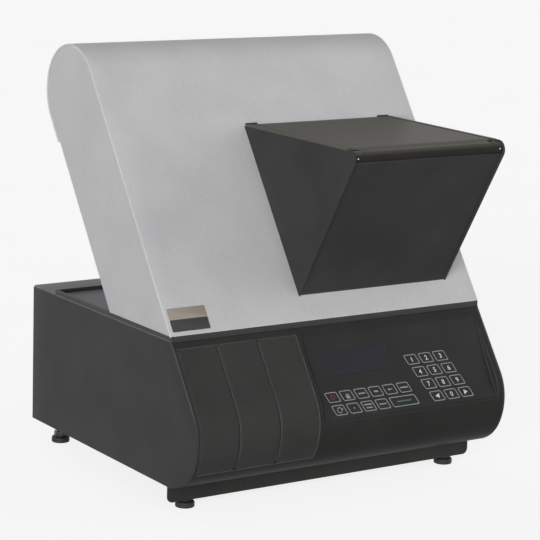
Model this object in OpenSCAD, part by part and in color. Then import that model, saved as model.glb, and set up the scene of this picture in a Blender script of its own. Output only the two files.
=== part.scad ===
// Table-top coin sorting machine: a low base with a bulging front panel, a hood that leans back
// over it, and a wedge-shaped hopper with a lid on the front of the hood.
// Frame: X to the right, Y to the back, Z up, with the table at z = 0.

/* [Base] */
// Width over the base cover and the hood
base_w = 380; // [350:5:420]
// Depth of the base cover's flat top, front edge to back edge
cover_depth = 285; // [275:5:320]
// Height of the base cover's top above the table
cover_top_z = 174; // [170:1:190]
// Height of the chassis floor's underside above the table
floor_z = 27; // [24:1:30]
// Place of the cover's front edge along Y
front_edge_y = -107; // [-115:1:-100]
// Thickness of the base cover and chassis sheet
sheet_t = 1.5; // [1.2:0.1:2]
// Outer bend radius of the base cover
cover_bend_r = 3; // [2:0.5:5]
// How far the chin of the chassis hangs below its floor
chin_drop = 18; // [14:1:20]
// Corner radius of the chin
chin_corner_r = 6; // [2:1:10]
// Height of the chassis side flanges
flange_h = 16; // [10:1:18]

/* [Front moulding] */
// How far the nose of the moulding stands out from the cover's front edge
nose_reach = 52; // [46:1:60]
// Height of the foremost point of the nose
nose_z = 82; // [78:1:86]
// Radius of the upper nose
nose_r = 50; // [44:1:54]
// Radius of the belly below the nose
belly_r = 60; // [56:1:66]
// Radius of the curl under the belly
curl_r = 50; // [46:1:54]
// Wall of the moulding
moulding_wall = 3; // [2:0.5:4]
// How far the moulding reaches back under the cover
moulding_tuck = 6; // [4:1:8]
// Gap between the cover's top and the moulding's top
moulding_top_gap = 1.5; // [1:0.5:3]

/* [Control field] */
// Width of the flat control field
field_w = 223; // [218:1:228]
// Gap between the drawer front and the field
field_left = 4.4; // [4:0.2:8]
// Distance from the right end of the machine to the field's right wall
field_right = 9; // [7:1:12]
// Height of the field's upper end
field_top_z = 166; // [160:1:168]
// Height of the field's lower end
field_low_z = 84; // [80:1:90]
// Margin of the overlay inside the field
overlay_margin = 3; // [2:0.5:4]
// Thickness of the overlay
overlay_t = 0.5; // [0.4:0.1:1]
// Height of the embossed keys
key_h = 0.3; // [0.2:0.1:0.5]
// Width of a number key
key_w = 15.8; // [14:0.1:17]
// Height of a key along the field
key_len = 11.4; // [10:0.1:12.5]
// Pitch of the number keys across the field
key_pitch = 18.5; // [18:0.1:19]
// Pitch of the key rows down the field
row_pitch = 13.9; // [13:0.1:14.5]
// Sideways slant of a key's sides per millimetre down the field
key_slant = 0.37; // [0:0.01:0.5]
// Sideways shift of the number key rows per millimetre down the field
number_shift = 0.46; // [0:0.01:0.5]
// Sideways shift of the function key rows per millimetre down the field
function_shift = 0.31; // [0:0.01:0.5]
// Distance of the top row of number keys from the field's left edge
number_left = 117.3; // [114:0.1:120]
// Distance of the top row of number keys down the field
number_s = 35.5; // [33:0.1:37]
// Distance of the upper row of function keys from the field's left edge
function_left = 9.4; // [6:0.1:12]
// Pitch of the function keys
function_pitch = 17.8; // [17:0.1:18]
// Width of a function key
function_w = 15.2; // [13:0.1:16]
// Width of the display window
window_w = 78; // [70:1:80]
// Height of the display window along the field
window_h = 28; // [24:1:32]
// Distance of the display window from the field's left edge
window_left = 20; // [16:1:24]
// Distance of the display window down the field
window_s = 20; // [16:1:22]
// Thickness of the display window
window_t = 1.6; // [1:0.1:2.5]

/* [Coin drawer] */
// Distance from the left end of the machine to the drawer front
drawer_left = 4.4; // [4.4:0.2:6]
// Lower edge of the drawer front
drawer_low_z = 48.4; // [46:0.2:52]
// Upper edge of the drawer front
drawer_top_z = 165.6; // [160:0.2:166]
// Gap round the drawer front
drawer_gap = 0.4; // [0.3:0.1:1]
// Width of the grooves between the raised lands
groove_w = 3; // [2:0.5:4]
// Depth of the grooves
groove_d = 2; // [1:0.25:2.5]
// Number of raised lands
land_count = 3; // [1:1:5]
// Length of the drawer tray
tray_len = 193; // [150:1:200]
// Height of the drawer tray
tray_h = 82; // [50:1:90]
// Underside of the drawer tray
tray_z = 52; // [51:1:56]
// Side gap between the drawer front's ends and the tray
tray_inset = 4.6; // [4:0.2:8]
// Thickness of the tray sheet
tray_t = 1.2; // [0.8:0.1:2]
// Height of the divider
divider_h = 76; // [40:1:78]
// Width of a runner's ledge
ledge_w = 7; // [5:1:10]
// Thickness of a runner's ledge
ledge_t = 3; // [2:0.5:4]
// Gap between a runner's ledge and the tray
runner_gap = 0.3; // [0.2:0.1:0.5]

/* [Feet] */
// Distance of the feet in from the machine's ends
foot_inset = 28; // [24:1:40]
// Distance of the front feet behind the cover's front edge
foot_front = 12; // [12:0.5:20]
// Distance of the back feet in front of the cover's back edge
foot_back = 13; // [13:0.5:30]
// Diameter of a foot pad
pad_d = 19.5; // [16:0.5:20]
// Height of a foot pad
pad_h = 6; // [4:0.5:8]
// Diameter of a foot's stud
stud_d = 8; // [6:1:10]
// Length of a foot's stud above its pad
stud_len = 34; // [30:1:50]
// Radial clearance of the studs and shafts in their holes
shaft_gap = 0.05; // [0.02:0.01:0.09]

/* [Hood] */
// Gap between the base cover and the hood
hood_gap = 4; // [3:0.5:8]
// Place of the hood's lower front edge behind the cover's front edge
hood_setback = 0.7; // [0:0.1:6]
// Lean of the hood from the vertical
hood_lean = 34.8; // [33:0.2:36]
// Thickness of the hood, front face to back lip
hood_d = 102; // [98:1:106]
// Length of the hood's flat front, from its lower edge to the rounded top
hood_len = 292.6; // [285:1:310]
// Thickness of the hood sheet
hood_t = 1.5; // [1:0.1:2]
// How far the hood's ends stand proud of its side plates
rim_proud = 0.6; // [0.2:0.1:1.5]
// Length of the wrap's lip down the back
lip_len = 29.6; // [16:0.2:40]
// Recess of the back panel behind the lip
back_recess = 3.7; // [3:0.1:6]
// How far the front sheet hangs below the side plates
hem_drop = 1.5; // [0.5:0.1:2.5]
// Width of the name plate
plate_w = 42.8; // [30:0.2:50]
// Height of the name plate
plate_h = 24.6; // [15:0.2:30]
// Thickness of the name plate
plate_t = 0.8; // [0.5:0.1:1.5]
// Distance of the name plate from the hood's left edge
plate_left = 4.5; // [3:0.1:10]
// Distance of the name plate above the hood's lower edge
plate_low = 4.3; // [3:0.1:10]

/* [Hopper] */
// Width of the hopper over its cheeks
hopper_w = 187.2; // [180:0.2:190]
// Distance of the hopper from the machine's right end
hopper_right = 33; // [28:0.2:38]
// Height of the hopper's rim above the hood's lower edge
hopper_rim = 182; // [178:1:186]
// Height of the hopper's lower point above the hood's lower edge
hopper_low = 22; // [20:1:24]
// How far the hopper's front stands out from the hood's lower front edge
hopper_reach = 71.7; // [66:0.1:76]
// Sheet of the hopper
hopper_t = 2; // [1.5:0.1:2.5]
// Corner radius of the cheeks at the upper front
cheek_r = 10; // [8:0.5:12]
// How far the lid lies below the hopper's rim
lid_drop = 1.5; // [1:0.1:3]
// Thickness of the lid sheet
lid_t = 1.5; // [1:0.1:2]
// Radius of the lid's rolled front edge
roll_r = 6.5; // [5.5:0.1:7]
// Gap between the lid and the cheeks
lid_gap = 0.5; // [0.4:0.1:1]
// Depth of the lid's turned-down flange
lid_flange = 8; // [5:0.5:12]
// Diameter of the hinge rod
rod_d = 4; // [3:0.5:5]
// Width of a hinge block
block_w = 6.2; // [5:0.2:8]
// Bare length of the hinge rod between a block and the roll
rod_bare = 5; // [2:0.5:7]
// Width of the hopper's fixing tabs
tab_w = 20; // [14:1:24]
// Height of the hopper's fixing tabs
tab_h = 29; // [20:1:30]

/* [Sorting deck] */
// Distance of the deck's front face behind the hood's front face
deck_depth = 32; // [30:1:36]
// Thickness of the deck
deck_t = 6; // [5:0.5:8]
// Length of the deck up the slope
deck_len = 260; // [240:1:262]
// Distance of the deck's lower edge up the slope
deck_low = 30; // [28:1:34]
// Radius of the feed disc
disc_r = 78; // [72:0.5:78]
// Thickness of the feed disc
disc_t = 4; // [3:0.5:5]
// Distance of the disc's axis up the slope
disc_v = 113; // [111:1:116]
// Running gap round the disc
disc_gap = 1.5; // [1:0.25:2.5]
// Wall of the feed bowl
bowl_wall = 3; // [2:0.5:4]
// Diameter of the disc shaft
shaft_d = 12; // [8:1:14]
// Outer diameter of the shaft bearings
bearing_d = 28; // [24:1:32]
// Width of a shaft bearing
bearing_w = 7; // [5:0.5:8]
// Radius of the disc pulley
big_pulley_r = 45; // [38:1:46]
// Radius of the motor pulley
small_pulley_r = 11; // [9:1:14]
// Width of the pulleys' belt track
track_w = 7; // [6:0.5:8]
// Thickness of the belt
belt_t = 1.6; // [1:0.1:2]
// Gap between the belt and the pulleys
belt_gap = 0.3; // [0.2:0.1:0.5]
// Gap between the motor plate and the gate's solenoid
motor_gap = 1; // [1:0.5:4]
// Margin of the motor plate round the motor
motor_margin = 4; // [3:0.5:6]
// Diameter of the gate's solenoid
solenoid_d = 20; // [16:1:22]
// Place of the motor's axis up the slope from the disc's axis
motor_up = 72; // [68:1:76]
// Radius of the motor
motor_r = 36; // [30:1:38]
// Length of the motor
motor_len = 28; // [22:1:29]
// Diameter of the motor's shaft
motor_shaft_d = 6; // [4:0.5:8]
// Slope of the coin rail down to the left
rail_slope = 14.7; // [10:0.1:18]
// Height of the coin rail off the deck
rail_h = 10; // [8:0.5:12]
// Width of the coin rail
rail_w = 7; // [6:0.5:8]
// Distance of the coin rail's upper end to the left of the disc's axis
rail_left = 75.4; // [74:0.2:80]
// Height of the coin rail's upper end above the disc's axis, along the slope
rail_up = 49; // [47:0.5:52]
// Distance of the gate's pivot to the left of the reject chute's middle
gate_left = 5; // [2:0.5:8]
// Length of the diverter gate
gate_len = 26.2; // [22:0.2:27]
// Diameter of the gate's shaft
gate_shaft_d = 4; // [3:0.5:5]
// Margin between the drawer front's ends and the coin chutes
chute_margin = 12.6; // [11:0.2:14]
// Space between the two coin chutes
chute_space = 10; // [8:0.5:14]
// Wall of the coin chutes
chute_t = 1.5; // [1:0.1:2]
// Gap of the chute's front wall behind the hood's front face
chute_front = 6; // [4:1:8]

/* [Back panel and electrics] */
// Recess of the back panel in the cover
panel_recess = 4.5; // [4:0.5:8]
// Width and height of the fan
fan_size = 60; // [50:5:60]
// Depth of the fan
fan_depth = 20; // [15:1:25]
// Place of the fan's axis
fan_x = 30; // [20:1:40]
// Height of the fan's axis above the chassis floor
fan_up = 72; // [60:1:90]
// Distance of the power inlet from the machine's right end
inlet_right = 40; // [34:1:50]
// Height of the power inlet above the chassis floor
inlet_up = 82; // [75:1:100]
// Distance of the power switch from the machine's right end
switch_right = 82; // [75:1:95]
// Tilt of the rocker at rest
rocker_tilt = 9; // [6:1:10]
// Width of the power supply
supply_w = 98; // [80:1:100]
// Depth of the power supply
supply_d = 129; // [110:1:130]
// Height of the power supply
supply_h = 38; // [30:1:45]
// Gap between the power supply and the right wall
supply_right = 12; // [11:1:20]
// Thickness of the circuit boards
board_t = 1.6; // [1:0.1:2]
// Depth of the main board
main_board_d = 150; // [120:1:160]
// Gap round the main board
main_board_gap = 12; // [8:1:16]
// Height of the main board's standoffs
standoff_h = 7.5; // [5:0.5:12]

/* [Hidden] */
$fn = 48;
eps = 0.01;
big = 500;

left_x = -base_w / 2;
right_x = base_w / 2;
back_y = front_edge_y + cover_depth;
floor_top_z = floor_z + sheet_t;
fit_gap = 0.2;
inner_x = right_x - sheet_t - fit_gap;
drawer_x0 = left_x + drawer_left;
drawer_x1 = right_x - field_right - field_w - field_left;
drawer_w = drawer_x1 - drawer_x0;
chute_w = (drawer_w - 2 * chute_margin - chute_space) / 2;
accept_x = drawer_x0 + chute_margin;
reject_x = accept_x + chute_w + chute_space;
hopper_x = right_x - hopper_right - hopper_w / 2;
inlet_x = right_x - inlet_right;
switch_x = right_x - switch_right;
supply_x = inner_x - supply_right - supply_w;
chin_y = front_edge_y + 3;
panel_y = back_y - panel_recess;

// An arc of points round a centre, from one angle to another
function arc(c, r, a0, a1, n) = [for (i = [0:n]) let (a = a0 + (a1 - a0) * i / n) c + r * [cos(a), sin(a)]];

// The nose's outline in (Y, Z): a straight upper face, then three tangent arcs
belly_turn = 25;
curl_turn = 75;
nose_y = front_edge_y - nose_reach;
nose_c = [nose_y + nose_r, nose_z];
belly_c = [nose_y + belly_r, nose_z];
curl_c = belly_c - (belly_r - curl_r) * [cos(belly_turn), sin(belly_turn)];
moulding_top_z = cover_top_z - sheet_t - moulding_top_gap;

// The upper face runs from the cover's front edge and touches the nose's arc
edge_dir = [front_edge_y, moulding_top_z] - nose_c;
face_lean = 180 - atan2(edge_dir[1], edge_dir[0]) - acos(nose_r / norm(edge_dir));

function face_y(z, inset) =
    nose_c[0] - (nose_r - inset) * cos(face_lean)
    + (z - nose_c[1] - (nose_r - inset) * sin(face_lean)) * tan(face_lean);

function curl_end(inset) = curl_c - (curl_r - inset) * [cos(curl_turn), sin(curl_turn)];

function nose_points(inset) = concat(
    [[face_y(moulding_top_z, inset), moulding_top_z]],
    arc(nose_c, nose_r - inset, 180 - face_lean, 180, 12),
    arc(belly_c, belly_r - inset, 180 + 2, 180 + belly_turn, 8),
    arc(curl_c, curl_r - inset, 180 + belly_turn + 6, 180 + curl_turn, 6),
    [[chin_y, curl_end(inset)[1] - (chin_y - curl_end(inset)[0]) / tan(curl_turn)]]
);

// The flat control field: a chord across the nose
field_top_y = face_y(field_top_z, 0);
field_low_y = belly_c[0] - sqrt(pow(belly_r, 2) - pow(nose_z - field_low_z, 2));
field_lean = atan((field_top_y - field_low_y) / (field_top_z - field_low_z));
field_len = norm([field_top_y - field_low_y, field_top_z - field_low_z]);
field_x1 = right_x - field_right;
field_x0 = field_x1 - field_w;
number_x = field_x0 + number_left;
function_x = field_x0 + function_left;
window_x = field_x0 + window_left;

// The hood's slope: v runs up its front face, w stands out from it
hood_z = cover_top_z + hood_gap;
hood_y = front_edge_y + hood_setback;
function slope_point(v, w) = [
    hood_y + v * sin(hood_lean) - w * cos(hood_lean),
    hood_z + v * cos(hood_lean) + w * sin(hood_lean)
];
function v_at(w, z) = (z - hood_z - w * sin(hood_lean)) / cos(hood_lean);
function face_at(z) = hood_y + (z - hood_z) * tan(hood_lean);
hood_c = slope_point(hood_len, -hood_d / 2);
lip_v = hood_len - lip_len;
back_w = -(hood_d - back_recess);

module along_x(x0, x1) {
    translate([x0, 0, 0]) rotate([90, 0, 90]) linear_extrude(x1 - x0) children();
}

module on_field() {
    translate([0, field_top_y, field_top_z]) rotate([90 - field_lean, 0, 0]) children();
}

module on_slope() {
    translate([0, hood_y, hood_z]) rotate([90 - hood_lean, 0, 0]) children();
}

// A box between two corners
module box(lo, hi) {
    translate(lo) cube(hi - lo);
}

// ---------------------------------------------------------------- feet
foot_x = right_x - foot_inset;
foot_front_y = front_edge_y + foot_front;
foot_back_y = back_y - foot_back;
foot_places = [
    [-foot_x, foot_front_y], [foot_x, foot_front_y], [-foot_x, foot_back_y], [foot_x, foot_back_y]
];
nut_h = 6;
nut_af = stud_d * 1.625;

module hex_nut(h, bore_r) {
    difference() {
        cylinder(r = nut_af / 2 / cos(30), h = h, $fn = 6);
        translate([0, 0, -eps]) cylinder(r = bore_r, h = h + 2 * eps);
    }
}

module foot_pad(i) {
    pad_chamfer = 1;
    color("#1c1c1e") translate([foot_places[i][0], foot_places[i][1], 0]) {
        cylinder(d = pad_d, h = pad_h - pad_chamfer);
        translate([0, 0, pad_h - pad_chamfer])
            cylinder(r1 = pad_d / 2, r2 = pad_d / 2 - pad_chamfer, h = pad_chamfer);
    }
}

module foot_stud(i) {
    color("#b9bbbd") translate([foot_places[i][0], foot_places[i][1], pad_h]) {
        cylinder(d = stud_d, h = stud_len);
        cylinder(r = nut_af / 2 / cos(30), h = nut_h, $fn = 6);
    }
}

// ---------------------------------------------------------------- chassis and covers
module chassis() {
    front_y = chin_y + sheet_t;
    chin_half = inner_x - 0.7;
    color("#2b2c2e") difference() {
        union() {
            box([-inner_x, chin_y, floor_z], [inner_x, panel_y - sheet_t, floor_top_z]);
            for (side = [-1, 1])
                box([side > 0 ? inner_x - sheet_t : -inner_x, moulding_back_y + fit_gap, floor_top_z - eps],
                    [side > 0 ? inner_x : sheet_t - inner_x, panel_y - sheet_t,
                     floor_top_z + flange_h]);
            translate([0, front_y, 0]) rotate([90, 0, 0]) linear_extrude(sheet_t) union() {
                translate([-chin_half, floor_z - chin_drop + chin_corner_r])
                    square([2 * chin_half, chin_drop - chin_corner_r + eps]);
                translate([-chin_half + chin_corner_r, floor_z - chin_drop])
                    square([2 * (chin_half - chin_corner_r), chin_drop]);
                for (side = [-1, 1])
                    translate([side * (chin_half - chin_corner_r), floor_z - chin_drop + chin_corner_r])
                        circle(r = chin_corner_r);
            }
            for (p = foot_places)
                translate([p[0], p[1], floor_top_z - eps]) hex_nut(nut_h, stud_d / 2 + shaft_gap);
        }
        for (p = foot_places)
            translate([p[0], p[1], floor_z - eps]) cylinder(r = stud_d / 2 + 0.5, h = sheet_t + eps);
    }
}

// The cover's side outline, with the nose in front
module cover_side_outline() {
    polygon(concat(
        [[back_y, floor_z], [back_y, cover_top_z], [front_edge_y, cover_top_z]],
        nose_points(0),
        [[chin_y + 4, floor_z]]
    ));
}

// Slots under the chutes
module chute_slot(x0) {
    slot_y0 = slope_point(v_at(-chute_front - chute_t, cover_top_z), -chute_front - chute_t)[0];
    slot_y1 = slope_point(v_at(-deck_depth, cover_top_z), -deck_depth)[0];
    box([x0 + chute_t, max(slot_y0, front_edge_y + moulding_tuck + 1), cover_top_z - 2 * sheet_t],
        [x0 + chute_w - chute_t, slot_y1 - 1, cover_top_z + 1]);
}

module base_cover() {
    color("#3a3b3d") difference() {
        intersection() {
            along_x(left_x, right_x) cover_side_outline();
            translate([0, big / 2, 0]) rotate([90, 0, 0]) linear_extrude(big) union() {
                translate([left_x, 0]) square([base_w, cover_top_z - cover_bend_r]);
                translate([left_x + cover_bend_r, 0]) square([base_w - 2 * cover_bend_r, cover_top_z]);
                for (side = [-1, 1])
                    translate([side * (right_x - cover_bend_r), cover_top_z - cover_bend_r])
                        circle(r = cover_bend_r);
            }
        }
        box([left_x + sheet_t, -big, -1], [right_x - sheet_t, big, cover_top_z - sheet_t]);
        chute_slot(accept_x);
        chute_slot(reject_x);
    }
}

fan_z = floor_top_z + fan_up;
inlet_z = floor_top_z + inlet_up;
inlet_w = 27;
inlet_h = 20;
switch_w = 13;
switch_h = 19;
port_z = floor_top_z + 30;
port_w = 20;
port_h = 12;
port_places = [-20, -60];

// A hole in the rear panel for a body of one width and height
module panel_hole(x, z, w, h) {
    translate([x, panel_y, z]) cube([w + 2 * fit_gap, 4 * sheet_t, h + 2 * fit_gap], center = true);
}

module rear_panel() {
    slot_rows = 4;
    slot_pitch = 6;
    panel_z0 = floor_top_z + fit_gap;
    panel_z1 = cover_top_z - sheet_t - fit_gap;
    flange_d = 14;
    flange_half = foot_x - nut_af;
    color("#3a3b3d") difference() {
        union() {
            box([-inner_x, panel_y - sheet_t, panel_z0], [inner_x, panel_y, panel_z1]);
            box([-flange_half, panel_y - flange_d, floor_top_z],
                [flange_half, panel_y - eps, floor_top_z + sheet_t]);
        }
        intersection() {
            for (i = [-slot_rows:slot_rows])
                translate([fan_x, panel_y, fan_z + i * slot_pitch])
                    cube([fan_size, 4 * sheet_t, slot_pitch / 2], center = true);
            translate([fan_x, panel_y + sheet_t, fan_z]) rotate([90, 0, 0])
                cylinder(r = fan_size / 2 - moulding_wall, h = 3 * sheet_t);
        }
        panel_hole(inlet_x, inlet_z, inlet_w, inlet_h);
        panel_hole(switch_x, inlet_z, switch_w, switch_h);
        for (x = port_places)
            panel_hole(x, port_z, port_w, port_h);
    }
}

module panel_screws() {
    head_d = 7;
    head_h = 2;
    inset = 10;
    low_up = 24;
    top_down = 20;
    color("#4a4b4d")
        for (x = [-inner_x + inset, inner_x - inset], z = [floor_top_z + low_up, cover_top_z - top_down])
            translate([x, panel_y + head_h, z]) rotate([90, 0, 0]) cylinder(d = head_d, h = head_h);
}

// ---------------------------------------------------------------- front moulding
opening_x0 = drawer_x0 - drawer_gap;
opening_x1 = drawer_x1 + drawer_gap;
moulding_back_y = front_edge_y + moulding_tuck;

module nose_solid(inset, back) {
    polygon(concat([[back, moulding_top_z - inset]],
        inset == 0 ? [] : [[face_y(moulding_top_z - inset, inset), moulding_top_z - inset]],
        [for (p = nose_points(inset)) if (p[1] <= moulding_top_z - inset) p],
        [[back, curl_end(inset)[1] - (chin_y - curl_end(inset)[0]) / tan(curl_turn)]]));
}

module nose_block(x0, x1, inset, back) {
    along_x(x0, x1) nose_solid(inset, back);
}

module field_wall(x0, x1, depth, height) {
    on_field() box([x0, -field_len - 3, -depth], [x1, 3, height]);
}

module front_moulding() {
    wall = moulding_wall;
    color("#2c2c2e") difference() {
        union() {
            difference() {
                nose_block(-inner_x, inner_x, 0, moulding_back_y);
                nose_block(opening_x0, inner_x - wall, wall, moulding_back_y + 1);
                field_wall(field_x0, field_x1, 0, big / 10);
            }
            intersection() {
                nose_block(-inner_x, inner_x, 0, chin_y);
                union() {
                    field_wall(field_x0 - wall, field_x1 + wall, wall, 0);
                    field_wall(field_x0 - wall, field_x0, wall, big / 10);
                    field_wall(field_x1, field_x1 + wall, wall, big / 10);
                }
            }
        }
        box([opening_x0, -big, drawer_low_z - drawer_gap],
            [opening_x1, moulding_back_y + 1, drawer_top_z + drawer_gap]);
        on_field() box([window_x, -window_s - window_h, -2 * wall], [window_x + window_w, -window_s, 1]);
        box([-inner_x - 1, chin_y - eps, 0], [inner_x + 1, big, floor_top_z + fit_gap]);
    }
}

// A key on the overlay: a parallelogram that leans with the rows
module key(x, s, w) {
    polygon([
        [x, -s], [x + w, -s],
        [x + w + key_slant * key_len, -s - key_len], [x + key_slant * key_len, -s - key_len]
    ]);
}

// Left edge of each number key row and function key row
function number_key(col, row) = [
    number_x + col * key_pitch + row * row_pitch * number_shift, number_s + row * row_pitch
];
function_s = number_s + 2 * row_pitch;
function function_key(col, row) = [
    function_x + col * function_pitch + row * row_pitch * function_shift, function_s + row * row_pitch
];

module keypad_overlay() {
    wide_w = 2 * function_pitch - 2;
    color("#161618") on_field() {
        difference() {
            box([field_x0 + overlay_margin, -field_len + overlay_margin, 0],
                [field_x1 - overlay_margin, -overlay_margin, overlay_t]);
            box([window_x, -window_s - window_h, -1], [window_x + window_w, -window_s, 1]);
        }
        translate([0, 0, overlay_t - eps]) linear_extrude(key_h) {
            for (row = [0:3], col = [0:2])
                key(number_key(col, row)[0], number_key(col, row)[1], key_w);
            for (col = [0:5])
                key(function_key(col, 0)[0], function_key(col, 0)[1], function_w);
            for (col = [0:3])
                key(function_key(col, 1)[0], function_key(col, 1)[1], function_w);
            key(function_key(4, 1)[0], function_key(4, 1)[1], wide_w);
        }
    }
}

module display_window() {
    color("#1b2136") on_field()
        box([window_x + fit_gap / 2, -window_s - window_h + fit_gap / 2, overlay_t - window_t],
            [window_x + window_w - fit_gap / 2, -window_s - fit_gap / 2, overlay_t]);
}

module display_module() {
    glass_inset = 2;
    glass_h = moulding_wall + overlay_t - window_t - fit_gap;
    frame_w = 6;
    body_h = 7;
    color("#23343a") on_field() translate([window_x, -window_s - window_h, -moulding_wall]) {
        box([glass_inset, glass_inset, -eps], [window_w - glass_inset, window_h - glass_inset, glass_h]);
        box([-frame_w, -frame_w, -body_h], [window_w + frame_w, window_h + frame_w, 0]);
    }
}

module control_board() {
    gap = 8;
    margin = 12;
    post_d = 5;
    board_x0 = number_x - margin;
    board_x1 = field_x1 - margin;
    board_s1 = field_len - margin;
    chip_w = 20;
    chip_h = 3;
    plug_w = 8;
    plug_len = 35;
    color("#2f6b46") on_field() translate([0, 0, -moulding_wall]) {
        box([board_x0, -board_s1, -gap - board_t], [board_x1, -margin, -gap]);
        for (x = [board_x0 + post_d, board_x1 - post_d], s = [margin + post_d, board_s1 - post_d])
            translate([x, -s, -gap - eps]) cylinder(d = post_d, h = gap + eps);
        translate([board_x0 + margin, margin - board_s1, -gap - board_t - chip_h])
            cube([chip_w, chip_w, chip_h + eps]);
        translate([board_x1 - margin - plug_len, -2 * margin, -gap - board_t - plug_w])
            cube([plug_len, plug_w, plug_w + eps]);
    }
}

// ---------------------------------------------------------------- coin drawer
land_pitch = (drawer_w + groove_w) / land_count;
tray_x0 = drawer_x0 + tray_inset;
tray_x1 = drawer_x1 - tray_inset;
tray_y0 = chin_y;
tray_y1 = tray_y0 + tray_len;
divider_x = reject_x - (chute_space + tray_t) / 2;

module drawer_front() {
    wall = moulding_wall;
    module window() {
        box([drawer_x0, -big, drawer_low_z], [drawer_x1, tray_y0, drawer_top_z]);
    }
    color("#333335") difference() {
        intersection() {
            nose_block(drawer_x0, drawer_x1, 0, tray_y0);
            window();
        }
        intersection() {
            nose_block(drawer_x0 + wall, drawer_x1 - wall, wall + groove_d, tray_y0 + 1);
            box([drawer_x0, -big, drawer_low_z + wall], [drawer_x1, tray_y0 + 1, drawer_top_z - wall]);
        }
        for (i = [0:land_count - 1])
            difference() {
                box([drawer_x0 + i * land_pitch - groove_w, -big, 0],
                    [drawer_x0 + i * land_pitch + (i == 0 ? groove_w / 2 : 0), 0, big]);
                nose_block(left_x, right_x, groove_d, 1);
            }
    }
}

module drawer_tray() {
    color("#9a9c9e") difference() {
        box([tray_x0, tray_y0, tray_z], [tray_x1, tray_y1, tray_z + tray_h]);
        box([tray_x0 + tray_t, tray_y0 + tray_t, tray_z + tray_t],
            [tray_x1 - tray_t, tray_y1 - tray_t, tray_z + tray_h + 1]);
    }
}

module drawer_divider() {
    color("#9a9c9e")
        box([divider_x, tray_y0 + tray_t, tray_z + tray_t],
            [divider_x + tray_t, tray_y1 - tray_t, tray_z + tray_t + divider_h]);
}

// A runner: a foot on the floor, a web, and a ledge under the tray's edge
module drawer_runner(edge_x, dir) {
    web_t = 2;
    web_gap = 1;
    web_up = 14;
    foot_w = 14;
    y0 = tray_y0 + 14;
    y1 = tray_y1 + 6;
    top_z = tray_z - runner_gap;
    web_x = edge_x - dir * web_gap;
    module bar(x0, x1, z0, z1) {
        box([min(x0, x1), y0, z0], [max(x0, x1), y1, z1]);
    }
    color("#8d8f91") {
        bar(web_x, web_x - dir * web_t, floor_top_z, tray_z + web_up);
        bar(web_x, edge_x + dir * ledge_w, top_z - ledge_t, top_z);
        bar(web_x, edge_x + dir * foot_w, floor_top_z, floor_top_z + web_t);
    }
}

// ---------------------------------------------------------------- electrics
main_board_x = drawer_x1 + main_board_gap - 3.6;
main_board_y = -60;
main_board_w = supply_x - main_board_gap - main_board_x;

module main_board() {
    chip_w = 28;
    chip_h = 3;
    relay_w = 20;
    relay_h = 18;
    plug_w = 8;
    plug_len = 24;
    plug_pitch = 32;
    capacitor_d = 14;
    capacitor_h = 22;
    edge = 10;
    color("#2f6b46") translate([main_board_x, main_board_y, floor_top_z + standoff_h]) {
        cube([main_board_w, main_board_d, board_t]);
        translate([0, 0, board_t - eps]) {
            translate([3 * edge, 6 * edge, 0]) cube([chip_w, chip_w, chip_h]);
            translate([main_board_w - edge - relay_w, 2 * edge, 0]) cube([relay_w, 2 * relay_w, relay_h]);
            for (i = [0:3])
                translate([edge / 2, edge + plug_w + i * plug_pitch, 0]) cube([plug_w, plug_len, plug_w]);
            for (i = [0:2])
                translate([main_board_w - edge - capacitor_d, 8 * edge + i * 1.5 * capacitor_d, 0])
                    cylinder(d = capacitor_d, h = capacitor_h);
        }
    }
}

module board_standoffs() {
    post_d = 6;
    inset = 5;
    color("#c2a14a") translate([main_board_x, main_board_y, floor_top_z])
        for (x = [inset, main_board_w - inset], y = [inset, main_board_d - inset])
            translate([x, y, 0]) cylinder(d = post_d, h = standoff_h);
}

supply_y = 10;

module power_supply() {
    slot_w = 74;
    slot_d = 5;
    slot_h = 2;
    slot_pitch = 11;
    terminal_w = 86;
    terminal_d = 13;
    terminal_h = 26;
    color("#a9abad") translate([supply_x, supply_y, floor_top_z]) difference() {
        cube([supply_w, supply_d, supply_h]);
        for (i = [0:8])
            translate([(supply_w - slot_w) / 2, 4 * slot_d + i * slot_pitch, supply_h - slot_h])
                cube([slot_w, slot_d, slot_h + 1]);
        translate([(supply_w - terminal_w) / 2, -1, supply_h - terminal_h])
            cube([terminal_w, terminal_d + 1, terminal_h + 1]);
    }
}

module power_inlet() {
    flange_w = 48;
    flange_t = 2;
    flange_h = inlet_h + 4;
    body_d = 18;
    back_t = 2;
    socket_w = 24;
    socket_h = 16.5;
    screw_x = 20;
    screw_d = 3.4;
    pin_w = 2;
    pin_len = 13;
    pin_h = 4;
    pin_x = 7;
    pin_z = 2;
    color("#1a1a1c") translate([inlet_x, panel_y, inlet_z]) {
        difference() {
            union() {
                box([-flange_w / 2, 0, -flange_h / 2], [flange_w / 2, flange_t, flange_h / 2]);
                box([-inlet_w / 2, -body_d, -inlet_h / 2], [inlet_w / 2, eps, inlet_h / 2]);
            }
            box([-socket_w / 2, back_t - body_d, -socket_h / 2], [socket_w / 2, flange_t + 1, socket_h / 2]);
            for (side = [-1, 1])
                translate([side * screw_x, flange_t + 1, 0]) rotate([90, 0, 0])
                    cylinder(d = screw_d, h = flange_t + 2);
        }
        for (i = [-1:1])
            translate([i * pin_x - pin_w / 2, back_t - body_d - eps, (i == 0 ? pin_z : -pin_z) - pin_h / 2])
                cube([pin_w, pin_len, pin_h]);
    }
}

rocker_in = 2;
rocker_half = 6.4;
rocker_w = 10;
rocker_pin_r = 1.2;

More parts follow.
